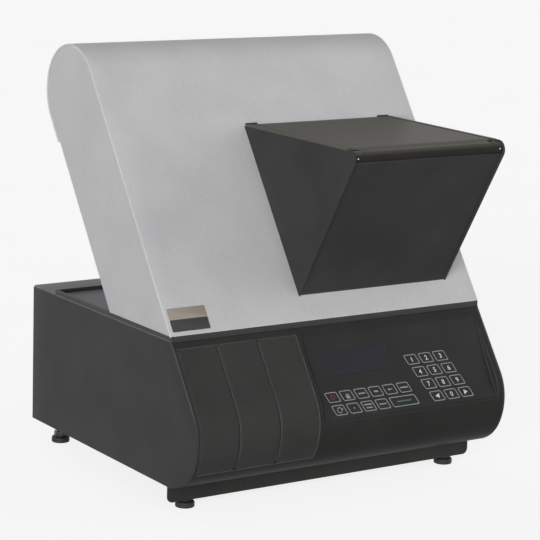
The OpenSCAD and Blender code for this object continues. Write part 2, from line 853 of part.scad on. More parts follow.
module switch_frame() {
    bezel_t = 2;
    bezel_w = 1.5;
    body_d = 14;
    back_t = 2;
    hole_half = 8;
    side_gap = 0.3;
    half_w = switch_w / 2;
    half_h = switch_h / 2;
    hole_w = rocker_w / 2 + side_gap;
    color("#1a1a1c") translate([switch_x, panel_y, inlet_z]) {
        difference() {
            union() {
                box([-half_w - bezel_w, 0, -half_h - bezel_w], [half_w + bezel_w, bezel_t, half_h + bezel_w]);
                box([-half_w, -body_d, -half_h], [half_w, eps, half_h]);
            }
            box([-hole_w, back_t - body_d, -hole_half], [hole_w, bezel_t + 1, hole_half]);
        }
        translate([-hole_w - side_gap, -rocker_in, 0]) rotate([0, 90, 0])
            cylinder(r = rocker_pin_r, h = 2 * (hole_w + side_gap));
    }
}

module power_rocker() {
    low = -2.5;
    dish = 3.6;
    edge = 4.6;
    edge_t = 1.2;
    color("#262628") translate([switch_x, panel_y - rocker_in, inlet_z]) rotate([rocker_tilt, 0, 0])
        difference() {
            along_x(-rocker_w / 2, rocker_w / 2) polygon([
                [low, -rocker_half / 2], [edge - edge_t, -rocker_half], [edge, -rocker_half], [dish, 0],
                [edge, rocker_half], [edge - edge_t, rocker_half], [low, rocker_half / 2]
            ]);
            translate([-rocker_w / 2 - 1, 0, 0]) rotate([0, 90, 0])
                cylinder(r = rocker_pin_r + shaft_gap, h = rocker_w + 2);
        }
}

module data_ports() {
    depth = 12;
    proud = 1.5;
    wall = 2;
    flange_t = 1;
    flange_w = 3;
    half_w = port_w / 2;
    half_h = port_h / 2;
    color("#8f9193")
        for (x = port_places)
            translate([x, panel_y, port_z]) difference() {
                union() {
                    box([-half_w, -depth, -half_h], [half_w, proud, half_h]);
                    box([-half_w - flange_w, -sheet_t - flange_t, -half_h - flange_t],
                        [half_w + flange_w, -sheet_t, half_h + flange_t]);
                }
                box([wall - half_w, 2 * wall - depth, wall - half_h],
                    [half_w - wall, proud + 1, half_h - wall]);
            }
}

fan_y0 = panel_y - sheet_t - fan_depth;
fan_base_t = 3;
fan_wall = 1.5;
hub_r = 12;
fan_pin_r = 1.5;
rotor_gap = 0.6;
rotor_h = fan_depth - fan_base_t - 4 * rotor_gap;

module fan_frame() {
    ring_r = fan_size / 2 - fan_wall;
    arm_half = 1.5;
    color("#1d1d1f") translate([fan_x, fan_y0, fan_z]) rotate([-90, 0, 0]) {
        difference() {
            translate([-fan_size / 2, -fan_size / 2, 0]) cube([fan_size, fan_size, fan_depth]);
            translate([0, 0, -1]) cylinder(r = ring_r, h = fan_depth + 2);
        }
        cylinder(r = hub_r, h = fan_base_t);
        for (a = [45:90:315])
            rotate(a) box([0, -arm_half, 0], [ring_r + fan_wall / 2, arm_half, fan_base_t]);
        cylinder(r = fan_pin_r, h = fan_base_t + 0.8 * rotor_h);
    }
}

module fan_rotor() {
    blade_count = 7;
    blade_r = fan_size / 2 - 2 * fan_wall;
    blade_pitch = 40;
    blade_half_t = 0.6;
    color("#242426") translate([fan_x, fan_y0 + fan_base_t + rotor_gap, fan_z]) rotate([-90, 0, 0]) {
        difference() {
            cylinder(r = hub_r, h = rotor_h);
            translate([0, 0, -1]) cylinder(r = fan_pin_r + shaft_gap, h = 0.9 * rotor_h);
        }
        for (i = [0:blade_count - 1])
            rotate(i * 360 / blade_count) intersection() {
                translate([0, 0, rotor_h / 2]) rotate([blade_pitch, 0, 0])
                    box([hub_r - 1, -rotor_h, -blade_half_t], [2 * blade_r, rotor_h, blade_half_t]);
                difference() {
                    cylinder(r = blade_r, h = rotor_h);
                    translate([0, 0, -1]) cylinder(r = hub_r - 0.5, h = rotor_h + 2);
                }
            }
    }
}

// ---------------------------------------------------------------- hood
// The hood's outline in (Y, Z), set in by one gap on the front and top and another at the back
module hood_outline(inset, back_inset, low_z) {
    polygon(concat(
        [slope_point(v_at(-inset, low_z), -inset)],
        arc(hood_c, hood_d / 2 - inset, 180 - hood_lean, -hood_lean, 36),
        back_inset == inset ? [] : [
            slope_point(lip_v - 1, -hood_d + inset),
            slope_point(lip_v - 1, -hood_d + back_inset)
        ],
        [slope_point(v_at(-hood_d + back_inset, low_z), -hood_d + back_inset)]
    ));
}

throat_inset = 2.2;
throat_up = 7;
throat_below_tabs = 4;
throat_x0 = hopper_x - hopper_w / 2 + hopper_t + throat_inset;
throat_x1 = hopper_x + hopper_w / 2 - hopper_t - throat_inset;
throat_v0 = v_at(0, hood_z + hopper_low) + throat_up;
rim_z = hood_z + hopper_rim;
rim_v = v_at(0, rim_z);
throat_v1 = rim_v - tab_h - throat_below_tabs;

module hood_wrap() {
    color("#b4b6ba") difference() {
        along_x(left_x, right_x) difference() {
            hood_outline(0, 0, hood_z - hem_drop);
            hood_outline(hood_t, hood_t, hood_z - hem_drop - 5);
        }
        on_slope() box([left_x - 1, -big, -hood_d - 5], [right_x + 1, lip_v, -hood_d / 2]);
        on_slope() box([throat_x0, throat_v0, -5], [throat_x1, throat_v1, 5]);
    }
}

module hood_side(side) {
    x_out = side * (right_x - rim_proud);
    x_in = x_out - side * hood_t;
    color("#a9acb1") along_x(min(x_out, x_in), max(x_out, x_in))
        hood_outline(hood_t + 0.1, back_recess, hood_z);
}

side_in = right_x - rim_proud - hood_t;

module hood_back_panel() {
    tuck = 14;
    vent_w = 60;
    vent_h = 4;
    vent_pitch = 14;
    vent_rows = 6;
    vent_v = 110;
    color("#a9acb1") on_slope() difference() {
        box([-side_in + fit_gap, v_at(back_w, hood_z), back_w],
            [side_in - fit_gap, lip_v + tuck, back_w + hood_t]);
        for (col = [-1:1], row = [0:vent_rows - 1])
            translate([col * vent_w / 0.6 - vent_w / 2, vent_v + row * vent_pitch, back_w - 1])
                cube([vent_w, vent_h, hood_t + 2]);
    }
}

frame_t = 2;
frame_x = side_in;
deck_back_w = -deck_depth - deck_t;

module side_frame(side) {
    rear_w = back_w + hood_t;
    top_w = rear_w + 20;
    flange_w = 14;
    low_z = cover_top_z;
    top_v = deck_low + deck_len - 10;
    module plate_outline() {
        polygon([
            slope_point(v_at(deck_back_w, low_z), deck_back_w),
            slope_point(top_v, deck_back_w),
            slope_point(top_v, top_w),
            slope_point(v_at(rear_w, low_z) + 60, rear_w),
            slope_point(v_at(rear_w, low_z), rear_w)
        ]);
    }
    color("#8d8f91") mirror([side > 0 ? 0 : 1, 0, 0]) {
        along_x(frame_x - frame_t, frame_x) plate_outline();
        on_slope() box([frame_x - flange_w, deck_low, deck_back_w - frame_t], [frame_x, top_v, deck_back_w]);
        box([frame_x - flange_w, slope_point(v_at(deck_back_w, low_z), deck_back_w)[0], low_z],
            [frame_x, slope_point(v_at(rear_w, low_z), rear_w)[0], low_z + frame_t]);
    }
}

module name_plate() {
    color("#b7ae98") on_slope()
        translate([left_x + plate_left, plate_low, 0]) cube([plate_w, plate_h, plate_t]);
}

// ---------------------------------------------------------------- hopper
hopper_x0 = hopper_x - hopper_w / 2;
hopper_x1 = hopper_x + hopper_w / 2;
hopper_front_y = hood_y - hopper_reach;
hopper_low_z = hood_z + hopper_low;
hopper_low_point = [face_at(hopper_low_z), hopper_low_z];
cheek_c = [hopper_front_y + cheek_r, rim_z - cheek_r];
cheek_span = norm(cheek_c - hopper_low_point);
cheek_angle = atan2(cheek_c[1] - hopper_low_point[1], cheek_c[0] - hopper_low_point[0]);
wall_angle = cheek_angle + asin(cheek_r / cheek_span);
wall_dir = [cos(wall_angle), sin(wall_angle)];
wall_in = [sin(wall_angle), -cos(wall_angle)];
lid_top_z = rim_z - lid_drop;
roll_c = [hopper_front_y + lid_drop + roll_r, lid_top_z - roll_r];
roll_x0 = hopper_x0 + hopper_t + block_w + rod_bare;
roll_x1 = hopper_x1 - hopper_t - block_w - rod_bare;
wall_set_in = 1;

// A point on the front wall: height up from the lower point, depth in from its face
function wall_point(z, depth) =
    let (base = hopper_low_point + depth * wall_in)
    base + wall_dir * (z - base[1]) / wall_dir[1];

module cheek_outline() {
    polygon(concat(
        [hopper_low_point],
        arc(cheek_c, cheek_r, wall_angle + 90, 90, 10),
        [[face_at(rim_z), rim_z]]
    ));
}

module hopper_body() {
    inner_x0 = hopper_x0 + hopper_t - eps;
    inner_x1 = hopper_x1 - hopper_t + eps;
    wall_low_z = hopper_low_z - 5;
    wall_top_z = roll_c[1] - roll_r - 0.7;
    low_lip = 6;
    lip_drop = 0.5;
    tab_drop = 2;
    color("#2f2f31") {
        along_x(hopper_x0, hopper_x0 + hopper_t) cheek_outline();
        along_x(hopper_x1 - hopper_t, hopper_x1) cheek_outline();
        intersection() {
            along_x(inner_x0, inner_x1) polygon([
                wall_point(wall_low_z, wall_set_in), wall_point(wall_top_z, wall_set_in),
                wall_point(wall_top_z, wall_set_in + hopper_t), wall_point(wall_low_z, wall_set_in + hopper_t)
            ]);
            on_slope() box([hopper_x0, 0, 0], [hopper_x1, big, big]);
        }
        on_slope() {
            for (x = [inner_x0, inner_x1 - tab_w])
                box([x, rim_v - tab_h, 0], [x + tab_w, rim_v - tab_drop, hopper_t]);
            box([inner_x0, throat_v0 - low_lip, 0], [inner_x1, throat_v0 - lip_drop, hopper_t]);
        }
    }
}

module hopper_screws() {
    head_d = 7;
    head_h = 2.2;
    screw_up = 8;
    color("#55565a") on_slope()
        for (x = [hopper_x0 + hopper_t + tab_w / 2, hopper_x1 - hopper_t - tab_w / 2])
            translate([x, rim_v - tab_h + screw_up, hopper_t]) cylinder(d = head_d, h = head_h);
}

// The hinge rod's axis, from one place along it to the right
module on_rod(x) {
    translate([x, roll_c[0], roll_c[1]]) rotate([0, 90, 0]) children();
}

module hinge_blocks() {
    color("#1d1d1f")
        for (x = [hopper_x0 + hopper_t, hopper_x1 - hopper_t - block_w])
            on_rod(x) difference() {
                cylinder(r = roll_r, h = block_w);
                translate([0, 0, -1]) cylinder(r = rod_d / 2 + shaft_gap, h = block_w + 2);
            }
}

module lid_hinge_rod() {
    color("#c9cbcd") on_rod(hopper_x0 + hopper_t + lid_gap)
        cylinder(d = rod_d, h = hopper_w - 2 * hopper_t - 2 * lid_gap);
}

module hopper_lid() {
    x0 = hopper_x0 + hopper_t + lid_gap;
    x1 = hopper_x1 - hopper_t - lid_gap;
    low_z = lid_top_z - lid_flange;
    flange_z = lid_top_z - eps;
    back_edge_y = face_at(low_z) - 3;
    corner_y = roll_c[0] + roll_r + 3.5;
    flange_y = corner_y + 4;
    color("#3b3b3c") difference() {
        union() {
            box([x0, corner_y, lid_top_z - lid_t], [x1, back_edge_y, lid_top_z]);
            box([roll_x0, roll_c[0], lid_top_z - lid_t], [roll_x1, corner_y + eps, lid_top_z]);
            on_rod(roll_x0) cylinder(r = roll_r, h = roll_x1 - roll_x0);
            box([x0, flange_y, low_z], [x0 + lid_t, back_edge_y, flange_z]);
            box([x1 - lid_t, flange_y, low_z], [x1, back_edge_y, flange_z]);
            box([x0, back_edge_y - lid_t, low_z], [x1, back_edge_y, flange_z]);
        }
        on_rod(roll_x0 - 1) cylinder(r = rod_d / 2 + shaft_gap, h = roll_x1 - roll_x0 + 2);
    }
}

// ---------------------------------------------------------------- sorting deck
deck_w = -deck_depth;
boss_len = 2 * bearing_w + 2;
boss_wall = 6;
seat_gap = 0.02;
rim_t = 1;
pulley_gap = 2;
pulley_len = track_w + 2 * rim_t;
pulley_low_w = deck_w - boss_len - pulley_gap - pulley_len;
rail_x = hopper_x - rail_left;
rail_v = disc_v + rail_up;
gate_hub_r = 3.4;
rail_end_gap = 0.4;
rail_len = (rail_x - reject_x - chute_w / 2 + gate_left) / cos(rail_slope) - gate_hub_r - rail_end_gap;
gate_pivot = [-rail_len - gate_hub_r - rail_end_gap, -gate_hub_r - fit_gap];
gate_place = [
    rail_x + gate_pivot[0] * cos(rail_slope) - gate_pivot[1] * sin(rail_slope),
    rail_v + gate_pivot[0] * sin(rail_slope) + gate_pivot[1] * cos(rail_slope)
];
motor_half = motor_r + motor_margin;
motor_x = gate_place[0] + solenoid_d / 2 + motor_gap + motor_half;
motor_v = disc_v + motor_up;
motor_left = hopper_x - motor_x;
motor_plate_w = pulley_low_w - 1.5;
motor_plate_t = 2;
chute_top_accept = 122;
chute_top_reject = 106;

module on_deck() {
    on_slope() translate([0, 0, deck_w]) children();
}

// The rail's frame: x runs up the rail to the right, y stands square to it
module on_rail() {
    on_deck() translate([rail_x, rail_v, 0]) rotate([0, 0, rail_slope]) children();
}

module sorting_deck() {
    half_w = frame_x - frame_t;
    color("#c3c5c8") on_deck() difference() {
        union() {
            box([-half_w, deck_low, -deck_t], [half_w, deck_low + deck_len, 0]);
            translate([hopper_x, disc_v, -boss_len])
                cylinder(r = bearing_d / 2 + boss_wall, h = boss_len - eps);
        }
        translate([hopper_x, disc_v, -boss_len - 1])
            cylinder(r = bearing_d / 2 + seat_gap, h = boss_len + 2);
        translate([gate_place[0], gate_place[1], -deck_t - 1])
            cylinder(r = gate_shaft_d / 2 + shaft_gap, h = deck_t + 2);
    }
}

module feed_bowl() {
    inner_r = disc_r + disc_gap;
    outer_r = inner_r + bowl_wall;
    flange_t = 1.8;
    flange_w = 3;
    depth = deck_depth - hood_t - 0.3;
    exit_h = 8;
    exit_half = 18;
    exit_angle = 140;
    color("#3a4a58") on_deck() difference() {
        union() {
            translate([hopper_x, disc_v, 0]) cylinder(r = outer_r, h = depth);
            box([throat_x0 - flange_w, throat_v0 - flange_w, depth - flange_t],
                [throat_x1 + flange_w, throat_v1 + flange_w, depth]);
        }
        translate([hopper_x, disc_v, -1]) cylinder(r = inner_r, h = depth + 2, $fn = 96);
        translate([hopper_x, disc_v, -eps]) rotate(exit_angle)
            box([inner_r - 6, -exit_half, 0], [outer_r + 6, exit_half, exit_h]);
    }
}

disc_up = 1;
hub_h = 5;

module feed_disc() {
    stud_ring = disc_r - 14;
    stud_count = 12;
    stud_w = 9;
    stud_h = 2.5;
    hub_r1 = 22;
    hub_r2 = 18;
    color("#b98a4a") on_deck() translate([hopper_x, disc_v, disc_up]) difference() {
        union() {
            cylinder(r = disc_r, h = disc_t, $fn = 96);
            for (i = [0:stud_count - 1])
                rotate(i * 360 / stud_count) translate([stud_ring, 0, disc_t - eps])
                    cylinder(d = stud_w, h = stud_h);
            translate([0, 0, disc_t - eps]) cylinder(r1 = hub_r1, r2 = hub_r2, h = hub_h);
        }
        translate([0, 0, -1]) cylinder(r = shaft_d / 2 + seat_gap, h = disc_t + hub_h + 2);
    }
}

module disc_shaft() {
    low_w = pulley_low_w - 1;
    top = disc_up + disc_t + hub_h;
    cap_r = 10;
    cap_h = 3;
    color("#c9cbcd") on_deck() translate([hopper_x, disc_v, 0]) {
        translate([0, 0, low_w - deck_w]) cylinder(d = shaft_d, h = deck_w - low_w + top);
        translate([0, 0, top - eps]) cylinder(r1 = cap_r, r2 = 0.8 * cap_r, h = cap_h);
    }
}

module shaft_bearings() {
    end_play = 0.4;
    color("#d2d4d6") on_deck() translate([hopper_x, disc_v, 0])
        for (z = [-bearing_w, -boss_len])
            translate([0, 0, z]) difference() {
                cylinder(d = bearing_d, h = bearing_w - end_play);
                translate([0, 0, -1]) cylinder(r = shaft_d / 2 + shaft_gap, h = bearing_w + 2);
            }
}

// A pulley: a track between two rims
module pulley(r, bore_r) {
    rim_r = r + belt_gap + belt_t + 0.5;
    difference() {
        union() {
            cylinder(r = r, h = pulley_len, $fn = 96);
            for (z = [0, pulley_len - rim_t])
                translate([0, 0, z]) cylinder(r = rim_r, h = rim_t, $fn = 96);
        }
        translate([0, 0, -1]) cylinder(r = bore_r, h = pulley_len + 2);
    }
}

module disc_pulley() {
    hole_ring = 0.6 * big_pulley_r;
    hole_r = 0.18 * big_pulley_r;
    color("#54585c") on_slope() translate([hopper_x, disc_v, pulley_low_w]) difference() {
        pulley(big_pulley_r, shaft_d / 2 + seat_gap);
        for (a = [0:60:300])
            rotate(a) translate([hole_ring, 0, -1]) cylinder(r = hole_r, h = pulley_len + 2);
    }
}

module motor_pulley() {
    shaft_in = 8;
    low_w = motor_plate_w - motor_plate_t - shaft_in;
    color("#54585c") on_slope() translate([motor_x, motor_v, 0]) {
        translate([0, 0, pulley_low_w]) pulley(small_pulley_r, motor_shaft_d / 2);
        translate([0, 0, low_w]) cylinder(d = motor_shaft_d, h = pulley_low_w + pulley_len - low_w);
    }
}

// The belt's outline round both pulleys, at one distance from their tracks
function belt_points(extra) =
    let (c = norm([motor_left, motor_up]), r1 = big_pulley_r + extra, r2 = small_pulley_r + extra)
    let (a = acos((r1 - r2) / c))
    concat(arc([0, 0], r1, a, 360 - a, 40), arc([c, 0], r2, -a, a, 20));

module drive_belt() {
    side_play = 0.5;
    color("#1a1a1c") on_slope() translate([hopper_x, disc_v, pulley_low_w + rim_t + side_play])
        rotate(atan2(motor_up, -motor_left)) linear_extrude(track_w - 2 * side_play) difference() {
            polygon(belt_points(belt_gap + belt_t));
            polygon(belt_points(belt_gap));
        }
}

module motor_plate() {
    post_d = 8;
    post_at = motor_half - post_d / 2;
    hole_r = motor_shaft_d / 2 + 2;
    color("#9fa1a3") on_slope() translate([motor_x, motor_v, motor_plate_w]) {
        difference() {
            box([-motor_half, -motor_half, -motor_plate_t], [motor_half, motor_half, 0]);
            translate([0, 0, -motor_plate_t - 1]) cylinder(r = hole_r, h = motor_plate_t + 2);
        }
        for (x = [-post_at, post_at], y = [-post_at, post_at])
            translate([x, y, -eps]) cylinder(d = post_d, h = deck_back_w - motor_plate_w + eps);
    }
}

module drive_motor() {
    bore_len = 12;
    low_w = motor_plate_w - motor_plate_t - motor_len;
    color("#77797c") on_slope() translate([motor_x, motor_v, low_w]) difference() {
        cylinder(r = motor_r, h = motor_len);
        translate([0, 0, motor_len - bore_len])
            cylinder(r = motor_shaft_d / 2 + shaft_gap, h = bore_len + 1);
    }
}

module coin_rail() {
    end_len = 10;
    end_x = gate_pivot[0] - gate_len - 1;
    color("#d2d4d6") on_rail() {
        box([-rail_len, -rail_w, 0], [0, 0, rail_h]);
        box([end_x - end_len, -rail_w, 0], [end_x, 0, rail_h]);
    }
}

module sensor_head() {
    x0 = -62;
    x1 = -32;
    leg = 6;
    path = 34;
    low_y = -rail_w - leg - 0.5;
    bridge_z = rail_h + 1;
    bridge_t = 8;
    color("#20242a") on_rail() {
        box([x0, low_y, 0], [x1, low_y + leg, bridge_z + eps]);
        box([x0, path, 0], [x1, path + leg, bridge_z + eps]);
        box([x0, low_y, bridge_z], [x1, path + leg, bridge_z + bridge_t]);
    }
}

gate_shaft_in = 6;

module diverter_gate() {
    side_gap = 0.4;
    blade_low = gate_hub_r - 0.4;
    blade_top = gate_hub_r - 0.2;
    color("#c9cbcd") on_rail() translate([gate_pivot[0], gate_pivot[1], 0]) {
        translate([0, 0, side_gap]) cylinder(r = gate_hub_r, h = rail_h - side_gap);
        box([-gate_len, -blade_low, side_gap], [0, blade_top, rail_h]);
        translate([0, 0, -deck_t - gate_shaft_in])
            cylinder(d = gate_shaft_d, h = deck_t + gate_shaft_in + side_gap + eps);
    }
}

module gate_solenoid() {
    body_h = 20;
    color("#3c4a3e") on_deck() translate([gate_place[0], gate_place[1], -deck_t - body_h]) difference() {
        cylinder(d = solenoid_d, h = body_h);
        translate([0, 0, body_h - gate_shaft_in - 2])
            cylinder(r = gate_shaft_d / 2 + shaft_gap, h = gate_shaft_in + 3);
    }
}

// A chute: a channel on the deck, closed in front and at the sides, cut level above the cover
module chute(x0, top_v) {
    depth = deck_depth - chute_front;
    low_v = -60;
    color("#a7a9ab") difference() {
        on_deck() difference() {
            box([x0, low_v, 0], [x0 + chute_w, top_v, depth]);
            box([x0 + chute_t, low_v - 1, -1], [x0 + chute_w - chute_t, top_v + 1, depth - chute_t]);
        }
        box([-big, -big, 0], [big, big, cover_top_z + 0.3]);
    }
}

chassis();
base_cover();
rear_panel();
front_moulding();
drawer_front();
drawer_tray();
drawer_divider();
drawer_runner(tray_x0, 1);  // drawer_runner_left
drawer_runner(tray_x1, -1);  // drawer_runner_right
keypad_overlay();
display_window();
display_module();
control_board();
main_board();
board_standoffs();
power_supply();
power_inlet();
switch_frame();
power_rocker();
data_ports();
fan_frame();
fan_rotor();
foot_pad(0);  // foot_pad_front_left
foot_pad(1);  // foot_pad_front_right
foot_pad(2);  // foot_pad_back_left
foot_pad(3);  // foot_pad_back_right
foot_stud(0);  // foot_stud_front_left
foot_stud(1);  // foot_stud_front_right
foot_stud(2);  // foot_stud_back_left
foot_stud(3);  // foot_stud_back_right
hood_wrap();
hood_side(-1);  // hood_side_left
hood_side(1);  // hood_side_right
hood_back_panel();
side_frame(-1);  // side_frame_left
side_frame(1);  // side_frame_right
name_plate();
hopper_body();
hopper_lid();
lid_hinge_rod();
hinge_blocks();
hopper_screws();
sorting_deck();
feed_bowl();
feed_disc();
disc_shaft();
shaft_bearings();
disc_pulley();
drive_belt();
motor_plate();
drive_motor();
motor_pulley();
coin_rail();
sensor_head();
gate_solenoid();
diverter_gate();
chute(accept_x, chute_top_accept);  // accept_chute
chute(reject_x, chute_top_reject);  // reject_chute
panel_screws();
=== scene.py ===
import math

import bpy
import numpy as np
from mathutils import Matrix, Vector


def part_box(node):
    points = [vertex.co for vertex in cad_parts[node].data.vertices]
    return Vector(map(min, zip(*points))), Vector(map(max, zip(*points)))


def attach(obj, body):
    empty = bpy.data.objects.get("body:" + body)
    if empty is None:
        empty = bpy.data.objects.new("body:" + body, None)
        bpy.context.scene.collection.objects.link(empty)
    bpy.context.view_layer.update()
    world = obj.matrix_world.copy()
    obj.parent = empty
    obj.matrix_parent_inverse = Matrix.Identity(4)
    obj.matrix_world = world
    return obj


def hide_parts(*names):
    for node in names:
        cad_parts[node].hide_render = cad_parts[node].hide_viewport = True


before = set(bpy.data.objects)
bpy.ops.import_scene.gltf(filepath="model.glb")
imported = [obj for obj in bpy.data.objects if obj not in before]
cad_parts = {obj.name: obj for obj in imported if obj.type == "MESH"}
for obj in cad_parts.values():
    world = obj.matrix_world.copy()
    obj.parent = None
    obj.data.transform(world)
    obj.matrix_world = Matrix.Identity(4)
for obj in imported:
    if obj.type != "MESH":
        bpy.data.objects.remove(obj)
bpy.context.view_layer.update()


def placed(name, data):
    """A new object in the scene, made of the data."""
    thing = bpy.data.objects.new(name, data)
    bpy.context.scene.collection.objects.link(thing)
    return thing


# ---- camera
# It stands in front and to the left of the machine, above its top, and looks a little down at it.
camera_right = Vector((0.8336, -0.5515, 0.0310)).normalized()
camera_back = camera_right.cross(Vector((0.0864, 0.1858, 0.9787))).normalized()
camera_up = camera_back.cross(camera_right)
camera_data = bpy.data.cameras.new("camera")
camera_data.lens = 147.77
camera_data.sensor_width = 36
camera = placed("camera", camera_data)
camera_axes = Matrix((camera_right, camera_up, camera_back)).transposed().to_4x4()
camera.matrix_world = Matrix.Translation((-1.2734, -1.8905, 0.6787)) @ camera_axes
bpy.context.scene.camera = camera


# ---- materials
def linear(colour):
    """sRGB hex to linear RGBA: c / 12.92 up to 0.04045, and above that ((c + 0.055) / 1.055) ** 2.4."""
    parts = [int(colour[i:i + 2], 16) / 255 for i in (1, 3, 5)]
    return [c / 12.92 if c <= 0.04045 else ((c + 0.055) / 1.055) ** 2.4 for c in parts] + [1.0]


def add(material, kind, settings, links=None):
    """Adds a shader node and gives its outputs. Settings name its properties or inputs, stops are those
    of a ramp, and links feed its inputs."""
    tree = material.node_tree
    node = tree.nodes.new("ShaderNode" + kind)
    for key, value in settings.items():
        if key == "stops":
            ends = node.color_ramp.elements
            for end, (place, colour) in zip(ends, value):
                end.position = place
                end.color = linear(colour)
        elif isinstance(key, str) and hasattr(node, key):
            setattr(node, key, value)
        else:
            node.inputs[key].default_value = value
    for key, socket in (links or {}).items():
        tree.links.new(socket, node.inputs[key])
    return node.outputs


def finish(
    name, tones, gloss, grain=0.7, depth=0.01, stretch=(1, 1, 1), cloud=50.0, edge=0.5, wear_and_highlight=None,
    edge_band=(0.99, 0.85), painted_top_light=None, flakes=0.0, uneven=0.05, shine=0.5, metal=0.0,
):
    """One surface finish; lengths are in millimetres.

    Its two tones drift into each other over cloud mm. A grain of grain mm, drawn out by stretch, lifts
    the surface by depth mm and changes its roughness by uneven either way. Edges are rounded over edge
    mm, and where an edge tone is given they take it, from the first to the second cosine of the edge
    band: partly wear and partly a painted highlight along the edges. A top tone, where given, is painted
    on faces that look up: painted light from above. Flakes makes single 0.8 mm cells lighter or darker.
    Shine is the strength of the gloss on a coat, and metal is 1 for bare metal.
    """
    material = bpy.data.materials.new(name)
    material.use_nodes = True
    shader = material.node_tree.nodes["Principled BSDF"]
    shader.inputs["Specular IOR Level"].default_value = shine
    shader.inputs["Metallic"].default_value = metal
    where = add(material, "TexCoord", {})["Object"]
    fine = add(material, "Mapping", {"Scale": [1000 / (grain * s) for s in stretch]}, {"Vector": where})
    grains = add(material, "TexNoise", {"Scale": 1.0, "Detail": 3.0}, {"Vector": fine[0]})
    clouds = add(material, "TexNoise", {"Scale": 1000 / cloud, "Detail": 3.0}, {"Vector": where})
    ramp = [(0.35, tones[0]), (0.65, tones[1])]
    tone = add(material, "ValToRGB", {"stops": ramp}, {"Fac": clouds[0]})[0]
    if flakes:
        spots = add(material, "TexVoronoi", {"Scale": 1250.0}, {"Vector": where})
        single = add(material, "SeparateColor", {}, {"Color": spots["Color"]})
        shade = add(
            material, "MapRange", {"To Min": 1 - flakes, "To Max": 1 + flakes}, {"Value": single[0]}
        )
        tone = add(material, "HueSaturation", {}, {"Value": shade[0], "Color": tone})[0]
    # Faces that look up take a lighter tone: painted light from above.
    if painted_top_light:
        own = add(material, "TexCoord", {})["Normal"]
        upward = add(material, "SeparateXYZ", {}, {0: own})["Z"]
        top_share = add(material, "MapRange", {"From Min": 0.4, "From Max": 0.95}, {"Value": upward})
        tone = add(material, "Mix", {"data_type": "RGBA", 7: linear(painted_top_light)}, {0: top_share[0], 6: tone})[2]
    eased = add(material, "Bevel", {"samples": 6, "Radius": edge / 1000})
    # Edges take a lighter tone: partly wear, partly a painted highlight.
    if wear_and_highlight:
        flat = add(material, "NewGeometry", {})["Normal"]
        along = add(material, "VectorMath", {"operation": "DOT_PRODUCT"}, {0: eased[0], 1: flat})
        at_edge = add(
            material, "MapRange", {"From Min": edge_band[0], "From Max": edge_band[1]}, {"Value": along["Value"]}
        )
        tone = add(material, "Mix", {"data_type": "RGBA", 7: linear(wear_and_highlight)}, {0: at_edge[0], 6: tone})[2]
    rough = add(
        material, "MapRange", {"To Min": gloss - uneven, "To Max": gloss + uneven}, {"Value": grains[0]}
    )
    bump = add(material, "Bump", {"Distance": depth / 1000}, {"Height": grains[0], "Normal": eased[0]})
    links = material.node_tree.links
    links.new(tone, shader.inputs["Base Color"])
    links.new(rough[0], shader.inputs["Roughness"])
    links.new(bump[0], shader.inputs["Normal"])
    return material


# Textured polyester powder coat on the base: satin black with an orange-peel grain (drawn at 1.1 mm to
# show), a little greyer on the edges, partly where the coat is thin and partly as a painted highlight,
# and lighter on top as painted light from above.
cover_coat = finish(
    "black_powder_coat", ["#3e3e3e", "#434343"], 0.48, 1.1, 0.035, wear_and_highlight="#4a4a4b", painted_top_light="#7b7b7e",
    shine=0.06,
)
# The same coat on the chassis, which is folded from thinner sheet; its lighter edges are partly wear
# and partly a painted highlight.
chassis_coat = finish(
    "chassis_powder_coat", ["#333231", "#383735"], 0.45, 1.1, 0.03, wear_and_highlight="#4a4947", shine=0.12
)
# The hopper's coat has a finer grain, and its edges are only a little lighter, partly wear and partly a
# painted highlight.
hopper_coat = finish(
    "hopper_powder_coat", ["#414142", "#464647"], 0.45, 0.9, 0.03, wear_and_highlight="#4c4c4c", shine=0.03
)
# The lid's coat, also on the blocks at its roll's ends: a warmer grey, its edges lighter, partly rubbed by
# hands and partly a painted highlight, and its faces that look up painted lighter as light from above.
lid_coat = finish(
    "lid_powder_coat", ["#2e2e2c", "#343331"], 0.4, 0.9, 0.03, wear_and_highlight="#484743", painted_top_light="#59574f",
    shine=0.03,
)
# The lid's two rims wear a lighter copy of the lid's coat, a painted highlight for the light their round
# shoulders catch, and their tops are painted lighter still as light from above.
lit_rim_coat = finish(
    "lit_rim_powder_coat", ["#5c5b57", "#62615c"], 0.4, 0.9, 0.02, wear_and_highlight="#6a6964", painted_top_light="#66645f",
    shine=0.03,
)
# Silver metallic coat on the hood: small aluminium flakes in a clear satin binder. Its edges take a
# near-white tone, a painted highlight.
hood_coat = finish(
    "silver_metallic_coat", ["#cacacc", "#cfcfd0"], 0.45, 0.8, 0.012, edge=1.2, wear_and_highlight="#fafafa",
    edge_band=(0.998, 0.94), flakes=0.05, metal=0.03, shine=0.05,
)
# Spark-eroded ABS of the front moulding: nearly black, soft satin, with a light grey painted highlight
# along its edges.
moulding_abs = finish(
    "black_abs", ["#343433", "#383837"], 0.4, 0.7, 0.012, edge=0.8, wear_and_highlight="#777776", edge_band=(0.992, 0.9),
    shine=0.02,
)
# The drawer front comes from another batch, a shade warmer; a light grey painted highlight runs along
# its edges, the lands' edges too.
drawer_abs = finish(
    "drawer_abs", ["#3d3d3c", "#424241"], 0.4, 0.7, 0.012, edge=0.9, wear_and_highlight="#82827f", edge_band=(0.992, 0.9),
    shine=0.04,
)
# Glass-filled nylon of the inlet, the switch and the fan: dull black.
black_nylon = finish("glass_filled_nylon", ["#131314", "#19191a"], 0.5, 0.6, 0.015)
# Polished nylon of the rocker.
rocker_nylon = finish("polished_nylon", ["#161617", "#1b1b1c"], 0.25, 0.6, 0.003)
